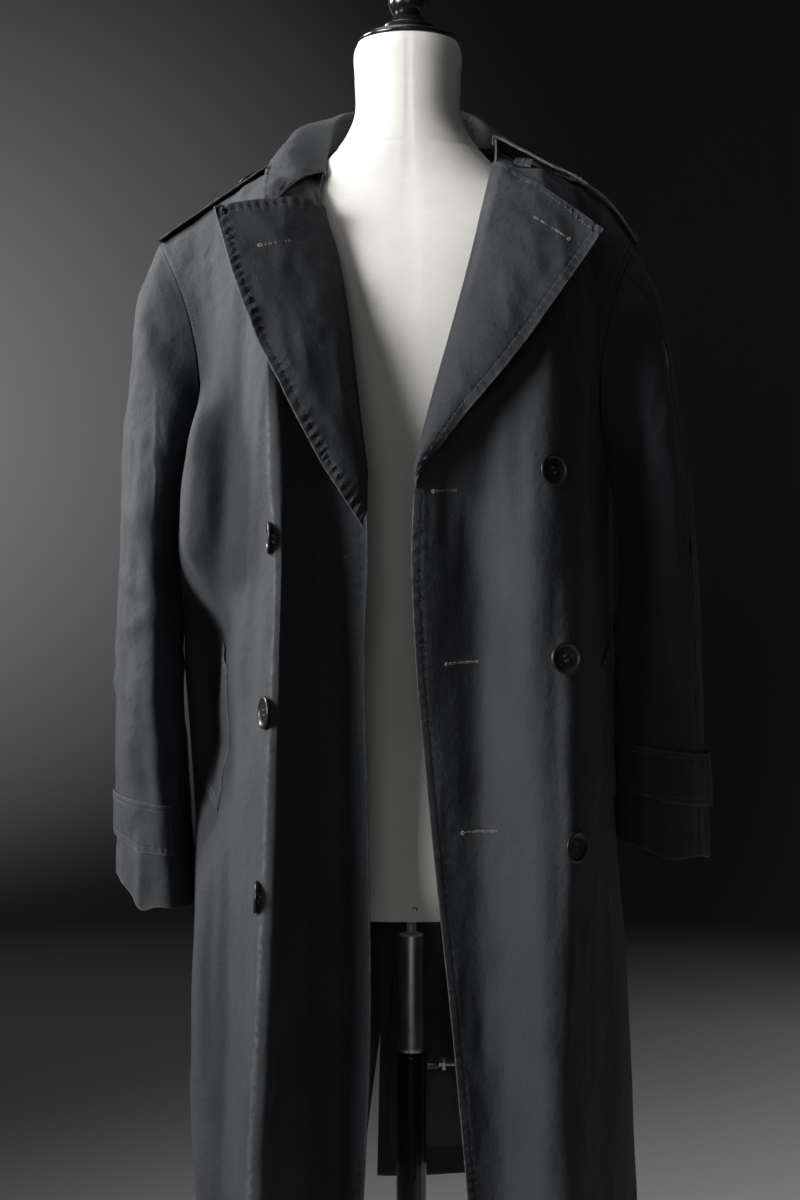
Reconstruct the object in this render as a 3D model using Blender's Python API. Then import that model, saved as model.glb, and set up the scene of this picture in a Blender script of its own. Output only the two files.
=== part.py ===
"""A double-breasted trench coat, worn open on a limbless dress form with a round base.

World frame: metres, +Z up, +X to the viewer's right, and the coat's front faces -Y. The origin is
the centre of the base's underside. Every table is in millimetres from the bust's centre line, and
left and right are the viewer's. Each cloth piece is a closed wall with its own object.

Coat sections run round the body on nineteen upright lines, numbered from the left front edge (0),
by the left side seam (5), the centre back (9) and the right side seam (13) to the right front
edge (18). Rows 0 to 5 are the levels from hem to underarm, and rows 5 to 9 rise to the shoulder.
"""

from math import asin, cos, pi, radians, sin

import bmesh
import bpy
from mathutils import Vector
from mathutils.bvhtree import BVHTree

MM = 0.001

# ---------------------------------------------------------------- driving dimensions, millimetres
CLOTH = 1.5            # wall of one thickness of gabardine
DOUBLE = 2.0           # wall of a lapel, collar or strap, sewn from two thicknesses
LINING = 1.0           # wall of the lining
SEAM_GAP = 0.3         # clear gap between two sewn pieces
LAY_GAP = 0.6          # clear gap under a piece that lies on another
FAR = 1000             # well in front of the coat
CLEAR_REACH = 45       # only cloth this near to a front is moved clear of it
BUST_X = -3.5          # the bust's centre line stands this far off the post's axis

UNDERARM_ROW = 5
SHOULDER_ROW = 9
LEFT_SIDE = 5
CENTRE_BACK = 9
RIGHT_SIDE = 13
LAST_LINE = 18

ARMHOLE_HALF_DEPTH = 84
ARMHOLE_INSET = {"front": 27, "back": 14}
SHOULDER_CROWN = {"left": 0, "right": 22}   # how far each shoulder seam arches up
VENT_TOP = 567         # the vent opens below this level
VENT_SPREAD = 17       # how far its left edge swings left at the hem
VENT_LIFT = 15         # and how far back
LINING_HEM = 30        # the lining ends this far above the coat's hem

EPAULETTE_CURVE = 0.004  # fall of an epaulette's edges, per square millimetre off its middle
STRAP_CURL = 5         # how far a cuff strap's free end stands off the sleeve

BUTTON_RADIUS = 15
BUTTON_HEIGHT = 4
BUTTON_LIFT = 0.6      # clear gap under a button, the thread shank's length
BUTTON_SIDES = 14
SMALL_BUTTON = 0.7     # epaulette and cuff buttons, as a share of a front button

NECK_TOP = 1575
TORSO_BOTTOM = 714
TUBE_RADIUS = 12.5
TUBE_TOP = 687
COLUMN_RADIUS = 15
COLUMN_TOP = 566
SCREW_HEIGHT = 556     # the clamp screw's axis
BASE_RADIUS = 190
BASE_HEIGHT = 24

# ---------------------------------------------------------------- coat sections, hem to underarm
# level, then x and y of each line: edge, dip, ridge, crease, flank, side
LEFT_FRONT = (
    (410, (-45, -150), (-65, -135), (-145, -212), (-163, -158), (-187, -80), (-198, 5)),
    (620, (-36, -155), (-59, -136), (-136, -212), (-157, -158), (-192, -85), (-208, 2)),
    (820, (-38, -160), (-60, -141), (-128, -212), (-152, -163), (-183, -92), (-205, 8)),
    (980, (-41, -165), (-61, -146), (-123, -212), (-149, -165), (-176, -112), (-209, 14)),
    (1060, (-38, -167), (-62, -150), (-122, -208), (-143, -165), (-194, -104), (-217, 8)),
    (1140, (-40, -165), (-66, -157), (-127, -192), (-146, -168), (-188, -112), (-213, 3)),
)
# level, then x and y of each line: edge, dip, swell, turn, flank, side
RIGHT_FRONT = (
    (410, (60, -150), (86, -138), (142, -186), (170, -150), (203, -85), (229, 5)),
    (620, (41, -155), (69, -140), (141, -190), (170, -150), (200, -85), (219, 0)),
    (820, (20, -160), (55, -147), (149, -188), (172, -145), (192, -80), (204, 0)),
    (980, (6, -165), (43, -152), (142, -186), (168, -145), (188, -76), (198, 0)),
    (1060, (3, -167), (38, -155), (137, -185), (166, -145), (183, -86), (197, 2)),
    (1140, (6, -166), (42, -158), (133, -180), (162, -145), (177, -100), (198, 3)),
)
# level, then x and y of each half's flank, blade and neck lines, and of the centre back
BACK = (
    (410, (186, 86), (124, 144), (64, 132), (-32, 122)),
    (620, (190, 84), (124, 141), (62, 132), (-26, 124)),
    (820, (184, 82), (120, 138), (60, 134), (-12, 127)),
    (980, (174, 82), (114, 134), (60, 134), (-5, 131)),
    (1060, (178, 86), (118, 134), (62, 134), (-2, 132)),
    (1140, (182, 90), (122, 138), (64, 139), (0, 135)),
)
# the front edge from underarm level up the roll line to the neck point, evenly along rows 5 to 9
LEFT_ROLL = (
    (-40, -165, 1140), (-48, -155, 1205), (-57, -136, 1280),
    (-68, -110, 1345), (-83, -82, 1398), (-88, 3, 1462),
)
RIGHT_ROLL = (
    (6, -166, 1140), (23, -150, 1205), (44, -133, 1280),
    (62, -110, 1350), (80, -66, 1428), (90, 3, 1470),
)
# the shoulder seam's outer end, the underarm point and the nape
LEFT_TIP, LEFT_UNDERARM = (-248, 3, 1375), (-213, 3, 1140)
RIGHT_TIP, RIGHT_UNDERARM = (229, 3, 1372), (198, 3, 1140)
NAPE = (0, 72, 1482)

# how far along the shoulder seam, from the neck point, each inner line of a half section ends
SEAM_SHARE = {"dip": 0.16, "ridge": 0.32, "crease": 0.5, "flank": 0.64, "blade": 0.4}
# above 1, a line's rows stay lower than the middle's, as the armhole's do beside it
LAG = {"dip": 1.0, "ridge": 1.15, "crease": 1.4, "flank": 1.8, "blade": 1.35, "neck": 1.1}
FRONT_INNER = ("dip", "ridge", "crease", "flank")
FULLNESS = 0.92        # below 1, the chest stays full up to the shoulder

# tangent share at a line: 1 is a soft curve, 0 a sharp fold
FOLD_SOFTNESS = {2: 0.3, 3: 0.6}

# ---------------------------------------------------------------- sleeves, armhole to cuff
# outer x and z, inner x and z, half depth, centre y
LEFT_SLEEVE = (
    ((-262, 1335), (-220, 1118), 88, 3),
    ((-272, 1265), (-225, 1092), 93, 5),
    ((-280, 1190), (-229, 1055), 95, 8),
    ((-286, 1060), (-228, 985), 92, 9),
    ((-289, 960), (-227, 925), 88, 9),
    ((-291, 850), (-222, 840), 84, 9),
    ((-290, 737), (-210, 720), 80, 9),
)
RIGHT_SLEEVE = (
    ((247, 1325), (206, 1118), 86, 3),
    ((262, 1255), (209, 1092), 90, 5),
    ((275, 1190), (210, 1055), 92, 8),
    ((287, 1060), (209, 985), 88, 9),
    ((292, 965), (208, 925), 84, 9),
    ((295, 850), (207, 872), 80, 9),
    ((298, 763), (207, 784), 76, 9),
)
SLEEVE_SIDES = 16
# where the two seams of each sleeve run, in sixteenths of a turn from the outer line
LEFT_SEAMS, RIGHT_SEAMS = (-6, 6), (-6, 2)
CUFF_STRAP = {"left": (6.17, 6.57), "right": (5.84, 6.40)}    # stations of its two edges

# ---------------------------------------------------------------- collar and lapels
# the neck seam, fold, crown and outer edge at seven stations from the left end to the right
COLLAR = (
    ((-88, -72, 1403), (-84, -42, 1438), (-101, -66, 1430), (-136, -106, 1380)),
    ((-92, 0, 1462), (-83, -2, 1471), (-110, -4, 1484), (-140, -16, 1452)),
    ((-64, 55, 1480), (-68, 56, 1516), (-92, 70, 1513), (-116, 100, 1466)),
    ((0, 77, 1486), (0, 80, 1531), (0, 99, 1524), (0, 132, 1458)),
    ((65, 55, 1483), (66, 56, 1517), (92, 70, 1503), (118, 102, 1466)),
    ((93, 0, 1470), (88, 4, 1484), (113, 2, 1470), (150, 12, 1453)),
    ((86, -52, 1447), (87, -32, 1474), (122, -46, 1455), (174, -62, 1425)),
)
# outer edge of each lapel from the end of the roll to the point
LEFT_LAPEL = (
    (-40, -174, 1084), (-71, -189, 1133), (-112, -196, 1207), (-153, -180, 1297), (-181, -138, 1386),
)
RIGHT_LAPEL = (
    (3, -174, 1127), (51, -189, 1188), (95, -190, 1241), (140, -176, 1304), (181, -142, 1366),
)
LAPEL_ROWS = {"left": (4.45, 8.2), "right": (4.72, 8.5)}
LAPEL_START = 0.25     # a lapel starts this many rows above the break, where it has some width
TURN_GAP = 5.5         # least gap between a turned-back piece and the front behind it
TURN_REACH = 14        # a lapel has that gap from this far off its roll
LAPEL_TOP_GAP = 5      # how far a lapel's roll stands off its front at the top
LAPEL_CROWN = 9        # how far a lapel bulges forward between its roll and its edge
ROLL_BACK = 5          # how far it springs forward close to the roll

# share of the shoulder seam from the neck, lift off the seam, and half width, at six places
EPAULETTE = {
    "left": ((0.31, 17, 8), (0.38, 17, 21), (0.52, 14, 23), (0.72, 10, 24), (0.88, 6, 25),
             (0.995, 2.9, 25)),
    "right": ((0.31, 5, 8), (0.38, 4, 19), (0.52, 3.1, 20), (0.72, 4.0, 24), (0.88, 3.6, 24),
              (0.97, 3.0, 22)),
}
EPAULETTE_BUTTON = {"left": 0.45, "right": 0.61}    # share of the seam at its button
# the throat tab lies on the right front, on these lines and between these rows, its end lifted
THROAT_LINES = (16.55, 16.75, 17.0, 17.2)
THROAT_ROWS = (8.28, 8.62)
THROAT_LIFT = 3
# line and row of the ends of a pocket welt's front edge and of its back edge, on the left front
WELT_FRONT_EDGE = ((3.6, 2.86), (4.0, 2.0))
WELT_BACK_EDGE = ((4.15, 3.0), (4.5, 2.12))
# line and row of the front buttons, from the top
BUTTONS = {
    "left": ((2.17, 4.2), (2.17, 2.62), (2.15, 1.67)),
    "right": ((16.0, 4.9), (16.0, 2.92), (15.9, 1.88)),
}

# ---------------------------------------------------------------- bust, from its underside up
# level, half width, half depth
BUST = (
    (714, 150, 100), (730, 158, 107), (800, 165, 112), (900, 157, 108), (1020, 142, 102),
    (1120, 150, 108), (1220, 160, 112), (1300, 167, 110), (1350, 170, 98), (1380, 168, 84),
    (1400, 156, 73), (1418, 134, 63), (1436, 104, 56), (1452, 87, 54), (1466, 74, 53),
    (1482, 62, 53), (1500, 54, 53), (1540, 53, 53), (1568, 53, 53), (1575, 50, 50),
)
BUST_SIDES = 28


def smooth(points, t, softness=None):
    """Point at t, counted in points from the first, on a curve that passes through them all."""
    softness = softness or {}
    last = len(points) - 1
    i = max(0, min(int(t), last - 1))
    f = t - i
    start, end = points[i], points[i + 1]
    step = end - start
    length = max(step.length, 1e-6)

    def slope(k):
        if k == 0 or k == last:
            return step
        before = points[k] - points[k - 1]
        after = points[k + 1] - points[k]
        b = max(before.length, 1e-6)
        a = max(after.length, 1e-6)
        return (before * (a / b) + after * (b / a)) / (a + b) * length

    m0 = slope(i) * softness.get(i, 1.0)
    m1 = slope(i + 1) * softness.get(i + 1, 1.0)
    f2, f3 = f * f, f * f * f
    return (start * (2 * f3 - 3 * f2 + 1) + m0 * (f3 - 2 * f2 + f)
            + end * (3 * f2 - 2 * f3) + m1 * (f3 - f2))


# ---------------------------------------------------------------- the coat's body
def armhole(side, angle):
    """Point of an armhole: 0 degrees is the shoulder tip, 180 the underarm, through the front."""
    tip, under = (LEFT_TIP, LEFT_UNDERARM) if side == "left" else (RIGHT_TIP, RIGHT_UNDERARM)
    tip, under = Vector(tip), Vector(under)
    a = radians(angle)
    inset = ARMHOLE_INSET["front" if sin(a) > 0 else "back"] * sin(a) ** 2
    towards_neck = 1 if side == "left" else -1
    across = Vector((towards_neck * inset, -ARMHOLE_HALF_DEPTH * sin(a), 0))
    return (tip + under) / 2 + (tip - under) / 2 * cos(a) + across


def level_point(table, column, row):
    """Point of an upright line at a row between hem and underarm."""
    return smooth([Vector((*levels[column], levels[0])) for levels in table], row)


def rise(chest, seam, f, lag=1.0):
    """Point that rises from the chest to the shoulder seam on a quarter oval, f from 0 to 1."""
    a = asin(min(1.0, sin(f * pi / 2) ** lag))
    f = a * 2 / pi
    out = max(cos(a), 0.0) ** FULLNESS
    across = f * f * (3 - 2 * f)
    return Vector((chest.x + (seam.x - chest.x) * across,
                   seam.y + (chest.y - seam.y) * out,
                   chest.z + (seam.z - chest.z) * sin(a)))


def armhole_inward(side, angle):
    """From a point of an armhole to its middle: the way to the inner face of what is sewn there."""
    return (armhole(side, 0) + armhole(side, 180)) / 2 - armhole(side, angle)


def seam_point(side, share):
    """Point of a shoulder seam, from the neck point (0) to the shoulder tip (1)."""
    neck = Vector((LEFT_ROLL if side == "left" else RIGHT_ROLL)[-1])
    tip = Vector(LEFT_TIP if side == "left" else RIGHT_TIP)
    return neck.lerp(tip, share) + Vector((0, 0, SHOULDER_CROWN[side] * sin(pi * share * share)))


def shoulder_share(row):
    """How far a row stands from the underarm (0) to the shoulder seam (1)."""
    return (row - UNDERARM_ROW) / (SHOULDER_ROW - UNDERARM_ROW)


def front_edge(side, row):
    """The front edge, and above the underarm level the roll line."""
    table, roll = (LEFT_FRONT, LEFT_ROLL) if side == "left" else (RIGHT_FRONT, RIGHT_ROLL)
    if row <= UNDERARM_ROW:
        return level_point(table, 1, row)
    return smooth([Vector(p) for p in roll], shoulder_share(row) * (len(roll) - 1))


def front_section(side, row):
    """Six points across a front at a row, from its edge to its side seam or armhole."""
    table = LEFT_FRONT if side == "left" else RIGHT_FRONT
    if row <= UNDERARM_ROW:
        return [level_point(table, column, row) for column in range(1, 7)]
    f = shoulder_share(row)
    points = [front_edge(side, row)]
    for column, name in enumerate(FRONT_INNER, start=2):
        chest = level_point(table, column, UNDERARM_ROW)
        points.append(rise(chest, seam_point(side, SEAM_SHARE[name]), f, LAG[name]))
    points.append(armhole(side, 180 * (1 - f)))
    return points


def back_section(row):
    """Nine points across the back at a row, from the left side seam or armhole to the right."""
    f = max(0.0, shoulder_share(row))
    low = min(row, UNDERARM_ROW)
    if f == 0:
        left, right = level_point(LEFT_FRONT, 6, low), level_point(RIGHT_FRONT, 6, low)
    else:
        left, right = armhole("left", -180 * (1 - f)), armhole("right", -180 * (1 - f))
    halves = {}
    for side, sign in (("left", -1), ("right", 1)):
        points = []
        for column, name in enumerate(("flank", "blade", "neck"), start=1):
            p = level_point(BACK, column, low)
            p.x *= sign
            seam = seam_point(side, SEAM_SHARE.get(name, 0.0))
            points.append(rise(p, seam, f, LAG[name]) if f else p)
        halves[side] = points
    centre = level_point(BACK, 4, low)
    if f:
        centre = rise(centre, Vector(NAPE), f)
    return [left, *halves["left"], centre, *reversed(halves["right"]), right]


def ring_point(line, row):
    """Point of the coat's outer face at or below the underarm, by line number and row."""
    ring = (front_section("left", row) + back_section(row)[1:-1]
            + front_section("right", row)[::-1])
    return smooth(ring, line, FOLD_SOFTNESS)


def front_point(line, row):
    """Point of a front's outer face, by line number and row."""
    if row <= UNDERARM_ROW:
        return ring_point(line, row)
    if line <= LEFT_SIDE:
        return smooth(front_section("left", row), line, FOLD_SOFTNESS)
    return smooth(front_section("right", row)[::-1], line - RIGHT_SIDE)


def back_point(line, row):
    """Point of the back's outer face; its neck lines turn sharper towards the shoulder seams."""
    if row <= UNDERARM_ROW:
        return ring_point(line, row)
    corner = 1 - shoulder_share(row)
    return smooth(back_section(row), line - LEFT_SIDE, {3: corner, 5: corner})


def body_rows():
    """Row numbers of a panel's mesh, two to each row."""
    return [r / 2 for r in range(SHOULDER_ROW * 2 + 1)]


def sleeve_point(side, sixteenth, station):
    """Point of a sleeve's outer face; station 0 is the armhole and 7 the cuff."""
    table = LEFT_SLEEVE if side == "left" else RIGHT_SLEEVE
    outward = -1 if side == "left" else 1
    angle = 360 * sixteenth / SLEEVE_SIDES
    a = radians(angle)
    rings = [armhole(side, angle) + Vector((outward * SEAM_GAP * 2, 0, 0))]
    for (outer_x, outer_z), (inner_x, inner_z), half_depth, y in table:
        outer, inner = Vector((outer_x, y, outer_z)), Vector((inner_x, y, inner_z))
        rings.append((outer + inner) / 2 + (outer - inner) / 2 * cos(a)
                     + Vector((0, -half_depth * sin(a), 0)))
    return smooth(rings, station)


# ---------------------------------------------------------------- lapels and collar
def lapel_point(side, across, up):
    """Point of a lapel's outer face: across 0 is the roll, 3 the edge; up 0 is the break, 1 the top."""
    first, last = LAPEL_ROWS[side]
    outer = [Vector(p) for p in (LEFT_LAPEL if side == "left" else RIGHT_LAPEL)]
    roll = front_edge(side, first + (last - first) * up)
    roll += Vector((0, -DOUBLE - LAY_GAP - LAPEL_TOP_GAP * up ** 4, 0))
    edge = smooth(outer, up * (len(outer) - 1))
    width = edge - roll
    near = roll + width * 0.12 + Vector((0, -ROLL_BACK * min(1.0, up * 3), 0))
    crown = roll + width * 0.5 + Vector((0, -LAPEL_CROWN * min(1.0, up * 3), 0))
    return smooth([roll, near, crown, edge], across)


def collar_point(line, station):
    """Point of the collar: line 0 is the neck seam, 1 the fold, 2 the crown and 3 the outer edge."""
    lines = [smooth([Vector(row[k]) for row in COLLAR], station) for k in range(4)]
    if line <= 1:
        return lines[0].lerp(lines[1], line)
    lines[1] = lines[1] + Vector((0, 0, DOUBLE + SEAM_GAP))
    return smooth(lines[1:], line - 1)


# ---------------------------------------------------------------- making meshes
def material(name, colour, roughness, metallic=0.0):
    found = bpy.data.materials.get(name)
    if found:
        return found
    made = bpy.data.materials.new(name)
    made.use_nodes = True
    shader = made.node_tree.nodes["Principled BSDF"]
    shader.inputs["Base Color"].default_value = (*colour, 1.0)
    shader.inputs["Roughness"].default_value = roughness
    shader.inputs["Metallic"].default_value = metallic
    return made


def gabardine():
    return material("gabardine", (0.052, 0.056, 0.062), 0.8)


def lining_satin():
    return material("lining", (0.02, 0.02, 0.024), 0.4)


def horn():
    return material("horn", (0.02, 0.021, 0.022), 0.25)


def canvas():
    return material("canvas", (0.80, 0.77, 0.72), 0.85)


def black_gloss():
    return material("black_gloss", (0.012, 0.012, 0.013), 0.12)


def steel():
    return material("steel", (0.62, 0.61, 0.59), 0.35, 1.0)


def add_object(name, mesh_data, surface, place=(0, 0, 0)):
    made = bpy.data.objects.new(name, mesh_data)
    made.location = place
    bpy.context.scene.collection.objects.link(made)
    if not mesh_data.materials:
        mesh_data.materials.append(surface)
    return made


def finish_mesh(name, verts, faces):
    """A closed mesh in metres from points in millimetres, with its faces pointing out."""
    data = bpy.data.meshes.new(name)
    data.from_pydata([tuple(v * MM) for v in verts], [], faces)
    work = bmesh.new()
    work.from_mesh(data)
    bmesh.ops.recalc_face_normals(work, faces=work.faces)
    work.to_mesh(data)
    work.free()
    data.shade_smooth()
    data.set_sharp_from_angle(angle=radians(40))
    return data


def bisector(points):
    """Direction of a line of two or three points, shared evenly between its spans."""
    return sum(((b - a).normalized() for a, b in zip(points, points[1:])), Vector())


class Sheet:
    """A piece of cloth: points of its outer face on a grid, and the way to its inner face."""

    def __init__(self, us, vs, point, inward=None, flip=False, sleeve_side=(None, None)):
        self.us, self.vs = list(us), list(vs)
        self.sign = -1 if flip else 1
        self.sleeve_line, self.to_sleeve = sleeve_side
        self.tree = None
        self.outer = [[point(u, v) for v in self.vs] for u in self.us]
        self.inward = [[self._inward(i, j, inward) for j in range(len(self.vs))]
                       for i in range(len(self.us))]

    def _inward(self, i, j, given):
        if given:
            direction = given(self.us[i], self.vs[j])
            if direction:
                return Vector(direction).normalized()
        grid = self.outer
        du = bisector([grid[k][j] for k in range(max(i - 1, 0), min(i + 2, len(self.us)))])
        dv = bisector(grid[i][max(j - 1, 0):j + 2])
        normal = du.cross(dv).normalized() * self.sign
        if self.us[i] == self.sleeve_line:
            normal -= self.to_sleeve * max(0.0, normal.dot(self.to_sleeve))
        return normal.normalized()

    def clear(self, p, gap):
        """The point p, moved forward where need be to stand in front of this sheet by a gap."""
        if self.tree is None:
            nu, nv = len(self.us), len(self.vs)
            cells = [(i * nv + j, (i + 1) * nv + j, (i + 1) * nv + j + 1, i * nv + j + 1)
                     for i in range(nu - 1) for j in range(nv - 1)]
            self.tree = BVHTree.FromPolygons([q for line in self.outer for q in line], cells)
        hit = self.tree.ray_cast(Vector((p.x, -FAR, p.z)), Vector((0, 1, 0)))[0]
        if hit is None or abs(hit.y - p.y) > CLEAR_REACH:
            return p
        return Vector((p.x, min(p.y, hit.y - gap), p.z))

    def cell(self, u, v):
        """Grid cell that holds (u, v), and the shares across it."""
        i = max(k for k in range(len(self.us) - 1) if k == 0 or self.us[k] <= u)
        j = max(k for k in range(len(self.vs) - 1) if k == 0 or self.vs[k] <= v)
        fu = (u - self.us[i]) / (self.us[i + 1] - self.us[i])
        fv = (v - self.vs[j]) / (self.vs[j + 1] - self.vs[j])
        return i, j, fu, fv

    def outward(self, u, v):
        """Direction out of the cloth, square to the grid cell at (u, v)."""
        i, j, _, _ = self.cell(u, v)
        grid = self.outer
        across = grid[i + 1][j] - grid[i][j + 1]
        along = grid[i + 1][j + 1] - grid[i][j]
        normal = across.cross(along).normalized()
        return normal if normal.dot(self.inward[i][j]) < 0 else -normal

    def at(self, u, v, out=0.0):
        """Point on the faceted outer face at (u, v), moved out by a distance."""
        i, j, fu, fv = self.cell(u, v)

        def mix(grid):
            return (grid[i][j].lerp(grid[i + 1][j], fu)
                    .lerp(grid[i][j + 1].lerp(grid[i + 1][j + 1], fu), fv))

        return mix(self.outer) - mix(self.inward).normalized() * out

    def build(self, name, wall, surface):
        nu, nv = len(self.us), len(self.vs)
        verts = [p for line in self.outer for p in line]
        verts += [self.outer[i][j] + self.inward[i][j] * wall for i in range(nu) for j in range(nv)]
        back = nu * nv
        border = [i * nv for i in range(nu)] + [(nu - 1) * nv + j for j in range(1, nv)]
        border += [i * nv + nv - 1 for i in range(nu - 2, -1, -1)]
        border += [j for j in range(nv - 2, 0, -1)]
        faces = [(b, a, back + a, back + b) for a, b in zip(border, border[1:] + border[:1])]
        for i in range(nu - 1):
            for j in range(nv - 1):
                a, b, c, d = i * nv + j, (i + 1) * nv + j, (i + 1) * nv + j + 1, i * nv + j + 1
                faces += [(a, b, c, d), (back + d, back + c, back + b, back + a)]
        return add_object(name, finish_mesh(name, verts, faces), surface, (BUST_X * MM, 0, 0))


def lathe(name, profile, sides, squash=None):
    """Mesh turned about Z from (height, radius) rows; squash gives each row its own half depth."""
    verts, faces = [], []
    for k, (z, r) in enumerate(profile):
        deep = squash[k] if squash else r
        verts += [Vector((r * cos(2 * pi * s / sides), deep * sin(2 * pi * s / sides), z))
                  for s in range(sides)]
    for k in range(len(profile) - 1):
        for s in range(sides):
            n = (s + 1) % sides
            faces.append((k * sides + s, k * sides + n, (k + 1) * sides + n, (k + 1) * sides + s))
    top = (len(profile) - 1) * sides
    faces.append(tuple(reversed(range(sides))))
    faces.append(tuple(range(top, top + sides)))
    return finish_mesh(name, verts, faces)


def turned(name, profile, surface, sides=24, place=(0, 0, 0), squash=None):
    """A solid turned about Z, placed in millimetres from the frame's origin."""
    return add_object(name, lathe(name, profile, sides, squash), surface, Vector(place) * MM)


# ---------------------------------------------------------------- pieces of the coat's body
def towards_middle(side):
    return Vector((1, 0, 0)) if side == "left" else Vector((-1, 0, 0))


def make_front(side):
    """One front, from its edge and roll line to its side seam, armhole and shoulder seam."""
    if side == "left":
        lines = [0, 0.5, 1, 1.4, 1.7, 2, 2.5, 3, 3.5, 4, 4.5, 5]
        seam_line, edge_line = LEFT_SIDE, 0
    else:
        lines = [13, 13.5, 14, 14.5, 15, 15.5, 16, 16.5, 17, 17.5, 18]
        seam_line, edge_line = RIGHT_SIDE, LAST_LINE

    def point(line, row):
        p = front_point(line, row)
        if line == seam_line and row <= UNDERARM_ROW or row == SHOULDER_ROW:
            p.y -= SEAM_GAP / 2
        return p

    def inward(line, row):
        if row == SHOULDER_ROW:
            return (0, 0, -1)
        if line == seam_line and row <= UNDERARM_ROW:
            return towards_middle(side)
        if line == edge_line and row > UNDERARM_ROW:
            return (0, 1, 0)
        return None

    sheet = Sheet(lines, body_rows(), point, inward, sleeve_side=(seam_line, -towards_middle(side)))
    sheet.build(f"front_{side}", CLOTH, gabardine())
    return sheet


def vent_shift(z):
    """How far the vent's left edge has swung from the centre back at a level."""
    open_share = max(0.0, VENT_TOP - z) / (VENT_TOP - LEFT_FRONT[0][0])
    return Vector((-VENT_SPREAD * open_share, VENT_LIFT * open_share, 0))


def make_back(side):
    """One half of the back, from its side seam to the centre back seam and vent."""
    step = 0.5
    if side == "left":
        first, sign, seam_line = LEFT_SIDE, -1, LEFT_SIDE
    else:
        first, sign, seam_line = CENTRE_BACK, 1, RIGHT_SIDE
    lines = [first + step * k for k in range(9)]

    def point(line, row):
        p = back_point(line, row)
        if line == CENTRE_BACK:
            p.x += sign * SEAM_GAP / 2
            if side == "left":
                p += vent_shift(p.z)
        elif side == "left" and line == CENTRE_BACK - step:
            p += vent_shift(p.z) * 0.5
        if line == seam_line and row <= UNDERARM_ROW or row == SHOULDER_ROW:
            p.y += SEAM_GAP / 2
        return p

    def inward(line, row):
        if line == CENTRE_BACK:
            return (0, -1, 0)
        if row == SHOULDER_ROW and abs(line - CENTRE_BACK) >= 1:
            return (0, 0, -1)
        return towards_middle(side) if line == seam_line and row <= UNDERARM_ROW else None

    sheet = Sheet(lines, body_rows(), point, inward, sleeve_side=(seam_line, -towards_middle(side)))
    sheet.build(f"back_{side}", CLOTH, gabardine())
    return sheet


def make_lining(side, back):
    """Lining inside one half of the back, from above the hem to the waist."""
    inset = 0.12
    clear = CLOTH + LAY_GAP * 2
    if side == "left":
        lines = [5.5, 6, 6.5, 7, 7.5, 8, 8.5, CENTRE_BACK - inset]
    else:
        lines = [CENTRE_BACK + inset, 9.5, 10, 10.5, 11, 11.5, 12, 12.5]
    hem_row = LINING_HEM / (BACK[1][0] - BACK[0][0])
    rows = [hem_row, 0.5, 1, 1.5, 2, 2.5, 3, 3.5, 4]
    sheet = Sheet(lines, rows, lambda line, row: back.at(line, row, -clear))
    sheet.build(f"lining_{side}", LINING, lining_satin())


def make_sleeve(side):
    """A two-piece sleeve: top sleeve and under sleeve meet at its two long seams."""
    first, second = LEFT_SEAMS if side == "left" else RIGHT_SEAMS
    stations = [0, 0.5, 1, 1.5, 2, 3, 4, 5, *CUFF_STRAP[side], 7]
    sheets = {}
    for name, start, end in (("top", first, second), ("under", second, first + SLEEVE_SIDES)):
        steps = list(range(start, end + 1))

        def point(sixteenth, station):
            shift = {start: 0.01, end: -0.01}.get(sixteenth, 0.0)
            return sleeve_point(side, sixteenth + shift, station)

        def inward(sixteenth, station):
            if station == 0:
                return armhole_inward(side, 360 * sixteenth / SLEEVE_SIDES)
            a = sleeve_point(side, sixteenth, station)
            b = sleeve_point(side, sixteenth + SLEEVE_SIDES / 2, station)
            return (b - a) if sixteenth in (start, end) else None

        sheet = Sheet(steps, stations, point, inward, flip=side == "right")
        sheet.build(f"sleeve_{side}_{name}", CLOTH, gabardine())
        sheets[name] = sheet
    return sheets


# ---------------------------------------------------------------- lapels and collar
def make_lapel(side, front):
    """A lapel, turned back over its front and clear of it."""
    first, last = LAPEL_ROWS[side]
    rows = [first + LAPEL_START] + [r for r in body_rows() if UNDERARM_ROW <= r < last] + [last]

    def point(across, row):
        p = lapel_point(side, across, (row - first) / (last - first))
        off_roll = min(1.0, abs(p.x - front_edge(side, row).x) / TURN_REACH)
        return front.clear(p, DOUBLE + LAY_GAP + TURN_GAP * off_roll) if across else p

    sheet = Sheet([0, 0.5, 1, 1.5, 2, 2.5, 3], rows, point, lambda across, row: (0, 1, 0))
    sheet.build(f"lapel_{side}", DOUBLE, gabardine())


def make_collar(fronts):
    """The collar's stand round the neck, and its leaf, which turns down over the shoulders."""
    stations = [k * 0.375 for k in range(17)]
    stand = Sheet(stations, [0, 0.5, 1], lambda s, line: collar_point(line, s))
    stand.build("collar_stand", DOUBLE, gabardine())

    def down_at_fold(s, line):
        return (0, 0, -1) if line == 1 else None

    def leaf_point(s, line):
        p = collar_point(max(line, 1.0001), s)
        for front in fronts.values():
            p = front.clear(p, DOUBLE + TURN_GAP)
        return p

    leaf = Sheet(stations, [1, 1.5, 2, 2.5, 3], leaf_point, down_at_fold, flip=True)
    leaf.build("collar_leaf", DOUBLE, gabardine())


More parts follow.
